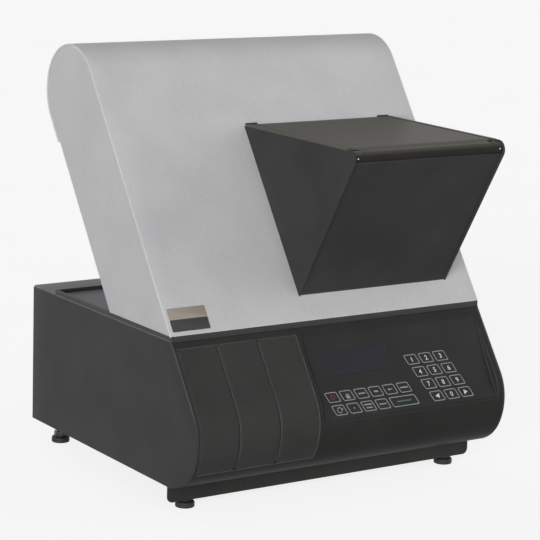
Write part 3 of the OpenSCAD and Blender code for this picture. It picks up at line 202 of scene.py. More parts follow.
# Acetal of the bowl: smooth, waxy, blue-grey.
bowl_acetal = finish("blue_acetal", ["#33414e", "#394856"], 0.32, 0.8, 0.006)
# Cast polyurethane of the feed disc: amber, slightly rubbery.
disc_urethane = finish("cast_polyurethane", ["#a8722f", "#b47c38"], 0.35, 1.0, 0.01)
# Polycarbonate housing of the sensors.
sensor_housing = finish("grey_polycarbonate", ["#20242a", "#262a31"], 0.4)
# Glass cloth laminate under green solder mask: the weave shows as a fine even grain.
board_laminate = finish("solder_mask_laminate", ["#1d5636", "#24613f"], 0.3, 1.2, 0.008)
# Polyester film of the keypad, back-printed black: fine matt emboss, with a painted highlight round the
# edges of the film and its keys.
overlay_film = finish(
    "polyester_film", ["#323233", "#373737"], 0.4, 0.5, 0.004, edge=0.3, wear_and_highlight="#555555", shine=0.06
)
# Screen inks: flat and dry, and slightly thin in places.
ink_grey, ink_white, ink_red, ink_green = [
    finish(name + "_ink", tones, 0.5, 0.4, 0.001, cloud=6, edge=0.05) for name, tones in [
        ("grey", ["#8b8c8e", "#999a9b"]), ("white", ["#d2d3d3", "#dfe0e0"]),
        ("red", ["#5f2d29", "#68322d"]), ("green", ["#3c5c42", "#436449"]),
    ]
]
# Tinted acrylic of the window: polished, with the blue of an unlit liquid crystal behind it.
window_acrylic = finish(
    "tinted_acrylic", ["#2a2a2c", "#292a32"], 0.3, 2.0, 0.0005, cloud=25, edge=0.3, shine=0.15
)
# Glass and tinned frame of the display.
display_glass = finish("display_glass", ["#1f2c33", "#26343b"], 0.3)
# Moulded rubber of the feet and cogged neoprene of the belt; a dark rubber for the cover's edge trim and
# the lid's cords, which fill gaps as painted shade.
foot_rubber = finish("moulded_rubber", ["#141414", "#1a1a1a"], 0.7, 0.9, 0.03)
shade_rubber = finish("painted_shade_rubber", ["#1d1d1e", "#222223"], 0.6, 0.8, 0.01)
belt_rubber = finish("neoprene_belt", ["#151515", "#191919"], 0.65, 0.8, 0.02)
# Zinc plate, passivated: bright grey with a soft crystal bloom.
zinc_plate = finish("zinc_plated_steel", ["#9fa1a3", "#aeb0b2"], 0.36, 1.5, 0.004, cloud=20, metal=1.0)
# Black zinc plate of the foot studs: dark, with a small glint on each thread.
black_zinc = finish("black_zinc_plate", ["#2c2d2e", "#353637"], 0.34, 0.5, 0.004, metal=0.8)
# Galvanised sheet of the drawer's tray: a wider bloom.
tray_zinc = finish("galvanised_sheet", ["#97999b", "#a8aaac"], 0.42, 3.0, 0.006, cloud=15, metal=1.0)
# Ground bar: fine marks round the rod.
ground_steel = finish("ground_steel", ["#bfc1c3", "#cccecf"], 0.2, 0.5, 0.003, (0.3, 4, 4), metal=1.0)
# Stainless sheet, brushed along its length.
brushed_stainless = finish(
    "brushed_stainless", ["#a6a8aa", "#b6b8ba"], 0.33, 0.5, 0.004, (1, 30, 30), metal=1.0
)
# Anodised aluminium of the deck, brushed across.
deck_aluminium = finish(
    "anodised_aluminium", ["#b5b7ba", "#c0c2c5"], 0.4, 0.5, 0.004, (40, 1, 1), metal=1.0
)
# Dark anodised aluminium of the pulleys.
pulley_anodised = finish("dark_anodised_aluminium", ["#4c5054", "#565a5e"], 0.4, metal=1.0)
# Mill-finish aluminium case of the supply.
supply_aluminium = finish(
    "mill_aluminium", ["#a6a8aa", "#b2b4b6"], 0.42, 0.6, 0.005, (30, 1, 1), metal=1.0
)
# Nickel plate of the ports' shells, turned brass of the spacers.
port_nickel = finish("nickel_plate", ["#a39f97", "#b0aca4"], 0.3, metal=1.0)
post_brass = finish("turned_brass", ["#b5974f", "#c0a25a"], 0.3, metal=1.0)
# Enamel of the motor, lacquer of the solenoid.
motor_enamel = finish("grey_enamel", ["#66686b", "#6d6f72"], 0.4, 1.2, 0.02)
solenoid_lacquer = finish("green_lacquer", ["#36443a", "#3c4a40"], 0.35, 1.2, 0.01)
# Black oxide on the screws: dark grey metal with an oily sheen.
black_oxide = finish("black_oxide_steel", ["#37383a", "#404143"], 0.36, 0.5, 0.004, metal=1.0)
# Anodised label plate, champagne with a black printed lower band, left blank.
plate_champagne = finish(
    "champagne_anodised", ["#91887d", "#9b9388"], 0.36, 0.4, 0.003, (25, 1, 1), edge=0.3, metal=0.6
)
plate_black = finish(
    "black_printed_aluminium", ["#2a2a28", "#31312f"], 0.38, 0.4, 0.002, (25, 1, 1), edge=0.3
)

# The frame's own pieces that are shown as they are, by the finish they wear.
dressed = {
    cover_coat: "rear_panel", chassis_coat: "chassis", tray_zinc: "drawer_tray drawer_divider",
    window_acrylic: "display_window", display_glass: "display_module",
    board_laminate: "control_board main_board", post_brass: "board_standoffs",
    supply_aluminium: "power_supply", black_nylon: "power_inlet switch_frame fan_frame fan_rotor",
    rocker_nylon: "power_rocker", port_nickel: "data_ports",
    hood_coat: "hood_side_left hood_side_right hood_back_panel",
    zinc_plate: "drawer_runner_left drawer_runner_right side_frame_left side_frame_right motor_plate",
    ground_steel: "disc_shaft diverter_gate", deck_aluminium: "sorting_deck", bowl_acetal: "feed_bowl",
    disc_urethane: "feed_disc", pulley_anodised: "disc_pulley motor_pulley", belt_rubber: "drive_belt",
    motor_enamel: "drive_motor", brushed_stainless: "coin_rail accept_chute reject_chute",
    sensor_housing: "sensor_head", solenoid_lacquer: "gate_solenoid", black_oxide: "shaft_bearings",
}
for material, names in dressed.items():
    for name in names.split():
        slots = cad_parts[name].data.materials
        slots.clear()
        slots.append(material)


# ---- surfaces
# Lengths are in millimetres until piece() turns them to metres.
def piece(
    name, parts, material, body, replaces=(), sharp=30.0, solid=None, edge=None, limit=40.0, even=True,
):
    """A mesh from (points, faces) parts, its doubles merged, with a wall of solid mm; edges over limit
    degrees are rounded by edge mm, and those over sharp degrees are shaded sharp."""
    points, faces, start = [], [], 0
    for part_points, part_faces in parts:
        part_points = np.asarray(part_points, float).reshape(-1, 3)
        points.append(part_points)
        faces += [[start + i for i in face] for face in part_faces]
        start += len(part_points)
    whole = np.concatenate(points)
    first, same = np.unique(np.round(whole, 4), axis=0, return_index=True, return_inverse=True)[1:]
    same = same.ravel()
    kept = []
    for face in faces:
        loop = [same[i] for i in face]
        loop = [i for k, i in enumerate(loop) if i != loop[k - 1]]
        if len(set(loop)) > 2:
            kept.append(loop)
    used, kept_flat = np.unique(np.concatenate(kept), return_inverse=True)
    ends = np.cumsum([len(face) for face in kept])
    kept = [part.tolist() for part in np.split(kept_flat.ravel(), ends[:-1])]
    mesh = bpy.data.meshes.new(name)
    mesh.from_pydata((whole[first][used] / 1000).tolist(), [], kept)
    mesh.materials.append(material)
    thing = placed(name, mesh)
    if solid:
        wall = thing.modifiers.new("wall", "SOLIDIFY")
        wall.thickness = solid / 1000
        wall.offset = -1.0
        wall.use_even_offset = even
    if edge:
        rounding = thing.modifiers.new("edge", "BEVEL")
        rounding.width = edge / 1000
        rounding.segments = 3
        rounding.limit_method = "ANGLE"
        rounding.angle_limit = math.radians(limit)
    if solid or edge:
        seen = thing.evaluated_get(bpy.context.evaluated_depsgraph_get())
        finished = bpy.data.meshes.new_from_object(seen)
        thing.modifiers.clear()
        thing.data = finished
        finished.name = name
    thing.data.polygons.foreach_set("use_smooth", [True] * len(thing.data.polygons))
    thing.data.set_sharp_from_angle(angle=math.radians(sharp))
    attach(thing, body)
    if replaces:
        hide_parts(*replaces.split())


def cells(rows, columns, keep=None, ring_rows=False, ring_columns=False):
    """Four-cornered faces of a grid of points, in rings where asked, less those that keep leaves out."""
    i, j = np.meshgrid(
        np.arange(rows if ring_rows else rows - 1), np.arange(columns if ring_columns else columns - 1),
        indexing="ij",
    )
    up, along = (i + 1) % rows, (j + 1) % columns
    faces = np.stack([i * columns + j, i * columns + along, up * columns + along, up * columns + j], -1)
    return (faces if keep is None else faces[keep]).reshape(-1, 4).tolist()


def capped(rows, count):
    """Faces of a row of rings with as many points each, closed by one face at either end."""
    last = (rows - 1) * count
    return cells(rows, count, ring_columns=True) + [
        list(range(count))[::-1], list(range(last, last + count))
    ]


def turn(faces):
    """The same faces, seen from the other side."""
    return [face[::-1] for face in faces]


def arc(centre, radius, start, end, count):
    """Points on a circle round centre from one angle to another: centre + radius (cos a, sin a)."""
    angle = np.radians(np.linspace(start, end, count))
    return np.array(centre) + radius * np.stack([np.cos(angle), np.sin(angle)], -1)


def steps(*places, most=12.0):
    """The places in order, with even steps of at most `most` mm between them."""
    runs = [
        np.linspace(a, b, max(2, int(math.ceil(abs(b - a) / most)) + 1)) for a, b in zip(places, places[1:])
    ]
    return np.unique(np.round(np.concatenate(runs), 5))


def inside(values, low, high):
    """For each step between neighbouring values: does its middle lie between low and high?"""
    middle = (values[1:] + values[:-1]) / 2
    return (middle > min(low, high)) & (middle < max(low, high))


def turned(radius, height, centre, axis, around=48, caps=True):
    """A turned part: radius and height, by row and by angle, go round an axis through centre."""
    angle = np.linspace(0, 2 * np.pi, around, endpoint=False)
    radius = np.broadcast_to(np.asarray(radius, float).reshape(len(radius), -1), (len(radius), around))
    height = np.broadcast_to(np.asarray(height, float).reshape(len(height), -1), radius.shape)
    z = Vector(axis).normalized()
    x = z.orthogonal().normalized()
    y = z.cross(x)
    points = (
        np.array(centre, float) + (radius * np.cos(angle))[..., None] * np.array(x)
        + (radius * np.sin(angle))[..., None] * np.array(y) + height[..., None] * np.array(z)
    )
    if caps:
        return points, capped(len(radius), around)
    return points, cells(len(radius), around, ring_rows=True, ring_columns=True)


def rounded(width, depth, corner, inset=0.0, count=5):
    """A rectangle from (0, 0) to (width, depth) with round corners, its outline drawn in by inset."""
    r = corner - inset
    far = np.array([width, depth]) - corner
    centres = [far, [corner, far[1]], [corner, corner], [far[0], corner]]
    return np.concatenate([arc(c, r, 90 * k, 90 * k + 90, count) for k, c in enumerate(centres)])


def pad(outline, low, high, soften):
    """A raised pad: outline(inset) at the height low, up to high, over an edge rounded by soften."""
    quarter = np.radians(np.linspace(0, 90, 5))
    inset = np.concatenate([[0], soften * (1 - np.cos(quarter))])
    level = np.concatenate([[low], high - soften + soften * np.sin(quarter)])
    rings = np.stack([
        np.column_stack([outline(i), np.full(len(outline(i)), h)]) for i, h in zip(inset, level)
    ])
    return rings, capped(*rings.shape[:2])


def band(outline, low, high, width):
    """A raised line of one width that follows outline(inset), closed on itself."""
    outer, inner = outline(0.0), outline(width)
    rings = np.stack([
        np.column_stack([line, np.full(len(line), level)])
        for line, level in [(outer, low), (outer, high), (inner, high), (inner, low)]
    ])
    return rings, cells(4, len(outer), ring_rows=True, ring_columns=True)


# ---- sizes shared with the frame
half_width = 190.0
inner_x = 188.3
front_edge_y = -107.0
back_y = 178.0
cover_top_z = 174.0
moulding_top_z = 171.0
floor_z = 27.0
chin_y = -104.0
drawer_x = (-185.6, -46.4)
drawer_z = (48.4, 165.6)
field_x = (-42.0, 181.0)
field_z = (84.0, 166.0)
window_x, window_s = (-22.0, 56.0), (20.0, 48.0)

# The nose in (Y, Z): a straight upper face, then three arcs that touch one another.
nose_c, nose_r = np.array([-109.0, 82.0]), 50.0
belly_c, belly_r, belly_turn = np.array([-99.0, 82.0]), 60.0, 25.0
curl_r, curl_turn = 50.0, 75.0
curl_c = belly_c - (belly_r - curl_r) * np.array([
    math.cos(math.radians(belly_turn)), math.sin(math.radians(belly_turn))
])
edge_from_nose = np.array([front_edge_y, moulding_top_z]) - nose_c
face_lean = 180 - math.degrees(
    math.atan2(edge_from_nose[1], edge_from_nose[0]) + math.acos(nose_r / np.linalg.norm(edge_from_nose))
)


def nose_path(low=None, high=moulding_top_z, levels=()):
    """Points (Y, Z) down the nose from high to low, with a point at each of the levels.

    Straight face, arc of nose_r to level, arc of belly_r over belly_turn, arc of curl_r to curl_turn,
    then a straight run under to the chin.
    """
    touch = arc(nose_c, nose_r, 180 - face_lean, 180, 25)
    curl = arc(curl_c, curl_r, 180 + belly_turn, 180 + curl_turn, 21)
    end = curl[-1]
    under_z = end[1] - (chin_y - end[0]) / math.tan(math.radians(curl_turn))
    path = np.concatenate([
        np.linspace([front_edge_y, moulding_top_z], touch[0], 12)[:-1], touch,
        arc(belly_c, belly_r, 180, 180 + belly_turn, 17)[1:], curl[1:],
        np.linspace(end, [chin_y, under_z], 5)[1:],
    ])
    low = path[-1, 1] if low is None else low
    z = np.concatenate([path[:, 1], np.asarray(levels, float), [low, high]])
    z = np.unique(np.round(z[(z >= low) & (z <= high)], 5))[::-1]
    return np.column_stack([np.interp(-z, -path[:, 1], path[:, 0]), z])


nose = nose_path()
field_top_y = float(np.interp(-field_z[1], -nose[:, 1], nose[:, 0]))
field_low_y = float(np.interp(-field_z[0], -nose[:, 1], nose[:, 0]))
field_lean = math.atan((field_top_y - field_low_y) / (field_z[1] - field_z[0]))
field_len = math.hypot(field_top_y - field_low_y, field_z[1] - field_z[0])


def on_field(points):
    """Flat control field to X, Y, Z: x along it, s down it from its top edge, h out from it."""
    points = np.asarray(points, float)
    x, s, h = points[..., 0], points[..., 1], points[..., 2]
    lean_sin, lean_cos = math.sin(field_lean), math.cos(field_lean)
    return np.stack([
        x, field_top_y - s * lean_sin - h * lean_cos, field_z[1] - s * lean_cos + h * lean_sin
    ], -1)


# The hood's slope in (Y, Z): v runs up its front face, w stands out from it.
hood_lean = math.radians(34.8)
hood_y, hood_z, hood_depth, hood_length = front_edge_y + 0.7, cover_top_z + 4, 102.0, 292.6


def slope(v, w):
    """Hood slope to (Y, Z): the foot of its front face, plus v up the face, plus w out from it."""
    v, w = np.asarray(v, float), np.asarray(w, float)
    return np.stack([
        hood_y + v * math.sin(hood_lean) - w * math.cos(hood_lean),
        hood_z + v * math.cos(hood_lean) + w * math.sin(hood_lean),
    ], -1)


def hood_face_y(z):
    """Where the hood's front face is at the height z."""
    return hood_y + (z - hood_z) * math.tan(hood_lean)


def v_at(w, z):
    """Where the layer w of the hood's slope reaches the height z."""
    return (z - hood_z - w * math.sin(hood_lean)) / math.cos(hood_lean)


def profile_sheet(profile, x):
    """A profile in (Y, Z), carried along X: point (i, j) is (x[j], profile[i])."""
    points = np.empty((len(profile), len(x), 3))
    points[..., 0] = x
    points[..., 1:] = profile[:, None, :]
    return points


# ---- base
def base_shell():
    """Bent sheet: its section in (X, Z) goes up one side, over and down the other, from the nose's
    outline in front, y(z), straight back to the rear edge."""
    bend = 3.0
    side_z = nose_path(low=floor_z, high=cover_top_z - bend)[::-1, 1]
    section = np.concatenate([
        np.column_stack([np.full(len(side_z), -half_width), side_z])[:-1],
        arc((-half_width + bend, cover_top_z - bend), bend, 180, 90, 9),
        np.column_stack([
            np.linspace(-half_width + bend, half_width - bend, 14)[1:-1], np.full(12, cover_top_z)
        ]),
        arc((half_width - bend, cover_top_z - bend), bend, 90, 0, 9),
        np.column_stack([np.full(len(side_z), half_width), side_z])[::-1][1:],
    ])
    front = np.interp(section[:, 1], nose[::-1, 1], nose[::-1, 0])
    front[section[:, 1] >= moulding_top_z] = front_edge_y
    share = np.linspace(0, 1, 15)
    points = np.empty((len(section), len(share), 3))
    points[..., 0] = section[:, :1]
    points[..., 1] = front[:, None] * (1 - share) + back_y * share
    points[..., 2] = section[:, 1:]
    piece(
        "base_shell", [(points, turn(cells(*points.shape[:2])))], cover_coat, "housing",
        "base_cover", solid=1.5, edge=0.6,
    )


base_shell()


def strip(line, ends, along_y=False):
    """A closed outline carried from one end to the other along X, or along Y; its points are (the other
    level direction, Z)."""
    rings = np.empty((2, len(line), 3))
    rings[..., 2] = line[:, 1]
    rings[..., 0 if along_y else 1] = line[:, 0]
    rings[..., 1 if along_y else 0] = np.array(ends)[:, None]
    faces = capped(2, len(line))
    return rings, turn(faces) if along_y else faces


def gap_shade_trim():
    """Dark rubber profiles on the cover that fill the gap under the hood as painted shade: a thick one in
    front, and a thin one along each side and the back."""
    side_in, side_out, thin_w, rear_y = half_width - 3.5, half_width - 1.2, 2.3, 131.0
    across = (0.05 - side_in, side_in - 0.05)
    thick = rounded(4.0, 6.1, 0.7) + [front_edge_y - 0.5, cover_top_z - 2.2]
    thin = rounded(side_out - side_in, 5.3, 0.5) + [0, cover_top_z - 1.2]
    along = (front_edge_y - 0.4, rear_y)
    runs = [
        strip(thick, across), strip(thin - [side_out, 0], along, along_y=True),
        strip(thin + [side_in, 0], along, along_y=True), strip(thin + [rear_y - thin_w, 0], across),
    ]
    piece("gap_shade_trim", runs, shade_rubber, "housing", sharp=35)


gap_shade_trim()


# ---- front moulding
def moulding_skin():
    """The nose's path carried along X. Across the field, Y is that of the flat field instead; the field
    ends in a wall on its left, and on its right it rises to the nose in a wave, (1 + cos) / 2."""
    gap, lip_height, lip_depth = 0.4, 1.3, 6
    opening_x, opening_z = ((low - gap, high + gap) for low, high in (drawer_x, drawer_z))
    window_z = [field_z[1] - s * math.cos(field_lean) for s in window_s[::-1]]
    path = nose_path(levels=[*opening_z, *window_z, *np.linspace(*field_z, 31)])
    lip = np.array([math.tan(math.radians(face_lean)), 1.0]) * lip_height
    path = np.concatenate([path[:1] + [[lip_depth, lip_height]], path[:1] + lip, path])
    rise = np.linspace(field_x[1] - 0.9, field_x[1] + 0.6, 7)
    x = steps(-inner_x, *opening_x, field_x[0], *window_x, rise[0])
    x = np.unique(np.concatenate([x, rise, [inner_x]]))
    wall = int(np.searchsorted(x, field_x[0]))
    x = np.insert(x, wall, field_x[0])
    flat = 0.5 + 0.5 * np.cos(np.pi * np.clip((x - rise[0]) / (rise[-1] - rise[0]), 0, 1))
    flat[:wall + 1] = 0
    points = profile_sheet(path, x)
    z = path[:, 1]
    in_field = (z <= field_z[1] + 1e-6) & (z >= field_z[0] - 1e-6)
    flat_y = field_top_y - (field_z[1] - z) * math.tan(field_lean)
    points[..., 1] += (in_field * (flat_y - path[:, 0]))[:, None] * flat[None, :]
    drawer = inside(z, *opening_z)[:, None] & inside(x, *opening_x)[None, :]
    window = inside(z, *window_z)[:, None] & inside(x, *window_x)[None, :]
    piece(
        "front_skin", [(points, turn(cells(*points.shape[:2], keep=~(drawer | window))))], moulding_abs,
        "housing", "front_moulding", solid=3.0, edge=0.8, limit=27, sharp=24, even=False,
    )


moulding_skin()


def drawer_skin():
    """The nose's path carried along X and pressed in by d(x): three lands with a groove left of each.

    With u the distance from a land's left edge, d rolls down to D as D sin^2(90 (u + r) / (r - b)) over
    the run from u = -r to -b, stays at D, climbs a steep wall at u = 0 up to f, and ends in a fillet,
    f - sqrt(f^2 - (f - u)^2). The lands' edges bend away in an arc at both ends of the face, and the
    border turns back into the machine.
    """
    depth, run, bottom, fillet, corner = 1.8, 3.4, 1.1, 1.0, 2.6
    x0, x1 = drawer_x
    pitch = (x1 - x0 + 3) / 3
    near = np.array([0, 0.1, 0.3, 0.6, 1.0, 1.5, 2.0, corner])
    path = nose_path(*drawer_z, levels=[*(drawer_z[1] - near), *(drawer_z[0] + near)])
    z = path[:, 1]
    to_end = np.minimum(np.minimum(drawer_z[1] - z, z - drawer_z[0]), corner)
    opening = corner - np.sqrt(corner ** 2 - (corner - to_end) ** 2)
    roll_u = np.linspace(-run, -bottom, 12)
    roll_d = depth * np.sin(np.pi / 2 * (roll_u + run) / (run - bottom)) ** 2
    turned_u = fillet * (1 - np.cos(np.radians(np.linspace(0, 90, 6))))
    turned_d = fillet - np.sqrt(np.clip(fillet ** 2 - (fillet - turned_u) ** 2, 0, None))
    u = np.concatenate([roll_u, [-0.15], [-0.05], turned_u])
    d = np.concatenate([roll_d, [depth], [depth * 0.9], turned_d])
    edges = [x0 + 1.5, x0 + pitch, x0 + 2 * pitch]
    columns = np.concatenate([edge + u for edge in edges] + [
        steps(a + 4, b - run - 1) for a, b in zip(edges, edges[1:] + [x1 + run])
    ] + [[x0, x1]])
    elsewhere = [np.zeros(len(columns) - 3 * len(d))]
    pressed = np.concatenate([d] * 3 + elsewhere)
    moved = np.concatenate([np.where(u >= -0.2, 1.0, 0.0)] * 3 + elsewhere)
    pressed[-2] = depth
    columns, order = np.unique(np.round(columns, 5), return_index=True)
    shown = (columns <= x0) | (columns >= edges[0] - bottom)
    shown &= columns >= x0
    columns, pressed, moved = columns[shown], pressed[order][shown], moved[order][shown]
    points = profile_sheet(path, columns)
    points[..., 0] += opening[:, None] * moved[None, :]
    along = np.gradient(path, axis=0)
    steep = np.linalg.norm(along, axis=1) / np.abs(along[:, 1])
    points[..., 1] += steep[:, None] * pressed[None, :]
    whole = np.empty((len(path) + 2, len(columns) + 2, 3))
    whole[1:-1, 1:-1] = points
    whole[0, 1:-1], whole[-1, 1:-1] = points[0], points[-1]
    whole[:, 0], whole[:, -1] = whole[:, 1], whole[:, -2]
    whole[0, :, 1] = whole[-1, :, 1] = whole[:, 0, 1] = whole[:, -1, 1] = chin_y
    piece(
        "drawer_face", [(whole, turn(cells(*whole.shape[:2])))], drawer_abs, "coin_drawer",
        "drawer_front", solid=2.6, edge=0.5, limit=48, sharp=32, even=False,
    )


drawer_skin()


# ---- keypad
# Keys lean to the right by slant for each mm down. A block of keys has its first corner, the step to the
# next column, the step to the right with each row, and the width of a key; the start key's is wide_w.
slant, film_margin, film_top, key_top, key_height = 0.37, 3, 0.5, 0.8, 11.4
row_step, line_w, wide_w = 13.9, 0.85, 33.6
number_block, function_block = (75.3, 35.5, 18.5, 6.394, 15.8), (-32.6, 63.3, 17.8, 4.309, 15.2)


def film():
    """A flat film on the field, from its margins to the window's edges."""
    x = steps(field_x[0] + film_margin, *window_x, field_x[1] - film_margin)
    s = steps(film_margin, *window_s, field_len - film_margin)
    points = np.empty((len(s), len(x), 3))
    points[..., 0], points[..., 1], points[..., 2] = x, s[:, None], film_top
    hole = inside(s, *window_s)[:, None] & inside(x, *window_x)[None, :]
    return on_field(points), turn(cells(len(s), len(x), keep=~hole))


def key_outline(x, s, width, length=key_height, corner=1.8):
    """The outline of a key as a function of inset: a round-cornered rectangle, sheared by the slant."""
    def outline(inset):
        line = rounded(width, length, corner, inset)[::-1]
        return np.column_stack([x + line[:, 0] + slant * line[:, 1], s + line[:, 1]])
    return outline


def key_block(rows, columns, x, s, pitch, shift, width):
    """The keys of a block, row by row, each as its corner on the field and its width."""
    return [
        (x + pitch * c + shift * r, s + row_step * r, width) for r in range(rows) for c in range(columns)
    ]


number_keys, function_keys = key_block(4, 3, *number_block), key_block(2, 6, *function_block)
function_keys[10:] = [(*function_keys[10][:2], wide_w)]
key_pads, key_lines = [], []
for x, s, width in number_keys + function_keys:
    points, faces = pad(key_outline(x, s, width), film_top - 0.1, key_top, 0.25)
    key_pads.append((on_field(points), faces))
    line = key_outline(x + 0.35, s + 0.25, width - 0.7, key_height - 0.5)
    points, faces = band(line, key_top - 0.1, key_top + 0.04, line_w)
    key_lines.append((on_field(points), faces))
piece(
    "keypad_film", [film()], overlay_film, "housing", "keypad_overlay", solid=film_top,
    edge=0.12,
)
piece("key_pads", key_pads, overlay_film, "housing")
piece("key_outlines", key_lines, ink_grey, "housing")


def centre_of(key):
    """The middle of a key on the field."""
    x, s, width = key
    return x + width / 2 + slant * key_height / 2, s + key_height / 2


def printed(outline):
    """A flat mark of ink on a key: outline(inset) raised by a hundredth or two."""
    points, faces = pad(outline, key_top - 0.05, key_top + 0.05, 0.01)
    return on_field(points), faces


def drawn(key, corners):
    """A mark with straight sides, its corners given as right and down from the key's middle."""
    x, s = centre_of(key)
    corners = np.array(corners, float)
    return printed(lambda inset: corners + [x, s])


def bar(key, width, height, right=0.0, down=0.0):
    """A bar that leans as the keys do, in place of a legend."""
    w, h = width / 2, height / 2
    return drawn(key, [
        (right + i * w + slant * (down + j * h), down + j * h)
        for i, j in [(-1, 1), (1, 1), (1, -1), (-1, -1)]
    ])


def ring(key, radius, line, start=0, end=360, right=0.0, down=0.0):
    """A ring, or part of one, of a line's width round a place on the key."""
    x, s = centre_of(key)
    middle = (x + right, s + down)
    outer, inner = (arc(middle, r, start, end, 25) for r in (radius, radius - line))
    rings = np.stack([
        np.column_stack([part, np.full(25, key_top + h)])
        for part, h in [(outer, -0.05), (inner, -0.05), (inner, 0.05), (outer, 0.05)]
    ])
    faces = cells(4, 25, ring_rows=True)
    if end - start < 360:
        faces += [[0, 25, 50, 75], [99, 74, 49, 24]]
    return on_field(rings), faces


def digit(key, text):
    """A digit cut from the built-in face, stood on the field and centred on its key."""
    curve = bpy.data.curves.new("digit", "FONT")
    curve.body = text
    curve.size = 6.9
    curve.offset = 0.1
    curve.extrude = 0.05
    curve.align_x = "CENTER"
    curve.align_y = "CENTER"
    source = placed("digit", curve)
    mesh = source.to_mesh()
    flat = np.empty(len(mesh.vertices) * 3)
    mesh.vertices.foreach_get("co", flat)
    flat = flat.reshape(-1, 3)
    faces = [list(polygon.vertices) for polygon in mesh.polygons]
    source.to_mesh_clear()
    bpy.data.objects.remove(source)
    flat[:, :2] -= (flat[:, :2].max(0) + flat[:, :2].min(0)) / 2
    x, s = centre_of(key)
    lean = 0.25 * flat[:, 1]
    return on_field(np.column_stack([x + flat[:, 0] - lean, s - flat[:, 1], key_top + flat[:, 2]])), faces


white_marks = [digit(key, text) for key, text in zip(number_keys[:9] + number_keys[10:11], "1234567890")]
white_marks.append(drawn(number_keys[9], [(2.4, 2.6), (2.4, -2.6), (-2.6, 0)]))
white_marks.append(drawn(number_keys[11], [(-2.4, -2.6), (-2.4, 2.6), (2.6, 0)]))
grey_marks = [
    bar(function_keys[1], 4.6, 3.2, down=1.6), ring(function_keys[1], 2.1, 0.8, 180, 360, down=0.2),
    bar(function_keys[2], 8.6, 1.4), bar(function_keys[3], 5.2, 1.8),
    bar(function_keys[4], 3.6, 0.9, right=0.9),
    drawn(function_keys[4], [(-0.6, 1.5), (-0.6, -1.5), (-3.2, 0)]), bar(function_keys[5], 9.4, 1.5),
    ring(function_keys[6], 3.1, 0.9, 30, 330),
    drawn(function_keys[6], [(1.2, -1.4), (2.8, 1.2), (4.4, -1.4)]),
    ring(function_keys[7], 0.8, 0.79), bar(function_keys[8], 9.6, 1.4, down=-1.7),
    bar(function_keys[8], 7.2, 1.4, down=1.7), bar(function_keys[9], 8.8, 1.4),
]
red_marks = [
    ring(function_keys[0], 2.7, 0.8, -60, 240), bar(function_keys[0], 0.9, 3.2, right=0.4, down=-1.8)
]
green_marks = [bar(function_keys[10], 18.0, 1.5)]
for name, marks, ink in [
    ("key_digits", white_marks, ink_white), ("key_marks", grey_marks, ink_grey),
    ("stop_mark", red_marks, ink_red), ("start_mark", green_marks, ink_green),
]:
    piece(name, marks, ink, "housing", sharp=60)


# ---- hood
def hood_cover():
    """Bent sheet: up the front face, round a half circle, down the back lip; the throat is left open."""
    throat_x, throat_v, lip = (-26.0, 152.8), (33.8, 188.65), 29.6
    lean = math.degrees(hood_lean)
    front_v = steps(v_at(0, hood_z - 0.2), *throat_v, hood_length)
    lip_v = np.linspace(hood_length, hood_length - lip, 5)[1:]
    profile = np.concatenate([
        slope(front_v, 0 * front_v),
        arc(slope(hood_length, -hood_depth / 2), hood_depth / 2, 180 - lean, -lean, 73)[1:],
        slope(lip_v, 0 * lip_v - hood_depth),
    ])
    x = steps(-half_width, *throat_x, half_width, most=20)
    v = np.concatenate([front_v, np.full(len(profile) - len(front_v), 1e6)])
    hole = inside(v, *throat_v)[:, None] & inside(x, *throat_x)[None, :]
    points = profile_sheet(profile, x)
    piece(
        "hood_cover", [(points, cells(*points.shape[:2], keep=~hole))], hood_coat,
        "housing", "hood_wrap", solid=1.5, edge=0.55,
    )


hood_cover()


def on_slope(points):
    """The hood's slope to X, Y, Z: x along it, v up it, w out from it."""
    points = np.asarray(points, float)
    return np.concatenate([points[..., :1], slope(points[..., 1], points[..., 2])], -1)


def label():
    """Label plate in two pieces of one thin pad: the plain half above and the printed half below."""
    x0, v0, width, height, split, plate_t = -185.5, 4.3, 42.8, 24.6, 12.4, 0.8

    def half(low, high):
        def outline(inset):
            line = rounded(width, high - low, 0.9, inset)
            return np.column_stack([x0 + line[:, 0], v0 + low + line[:, 1]])
        points, faces = pad(outline, 0, plate_t, 0.25)
        return on_slope(points), faces

    piece("label_top", [half(split, height)], plate_champagne, "housing", "name_plate")
    piece("label_band", [half(0, split)], plate_black, "housing", "name_plate")


label()

# ---- hopper
hopper_x = (-30.2, 157.0)
hopper_low_z, rim_z, sheet_t = hood_z + 22, hood_z + 182, 2.0
roll_y, roll_z, roll_r = -170.0, 352.0, 6.5
rim_v = v_at(0, rim_z)
low_point = np.array([hood_face_y(hopper_low_z), hopper_low_z])
cheek_c, cheek_r = np.array([-168.0, 350.55]), 9.95
cheek_top_z, ear_y, lid_lift = 358.6, -163.4, 1.9


def drawn_in(line):
    """The outline of a closed line of corners as a function of inset: each corner moves along the mean
    of its two edges' inward normals, n1 + n2 over 1 + n1 . n2."""
    line = np.asarray(line, float)
    edge = np.roll(line, -1, axis=0) - line
    normal = np.column_stack([-edge[:, 1], edge[:, 0]]) / np.linalg.norm(edge, axis=1)[:, None]
    before = np.roll(normal, 1, axis=0)
    mitre = (normal + before) / (1 + np.sum(normal * before, axis=1))[:, None]
    return lambda inset: line + inset * mitre


def plate_at(x0, x1, line):
    """A flat plate from x0 to x1 with rounded edges on both faces; its outline is in (Y, Z)."""
    outline = drawn_in(line)
    rows = [(0.4, 0), (0.12, 0.12), (0, 0.4), (0, x1 - x0 - 0.4), (0.12, x1 - x0 - 0.12), (0.4, x1 - x0)]
    rings = np.stack([
        np.column_stack([np.full(len(line), x0 + x), outline(inset)]) for inset, x in rows
    ])
    return rings, capped(len(rows), len(line))


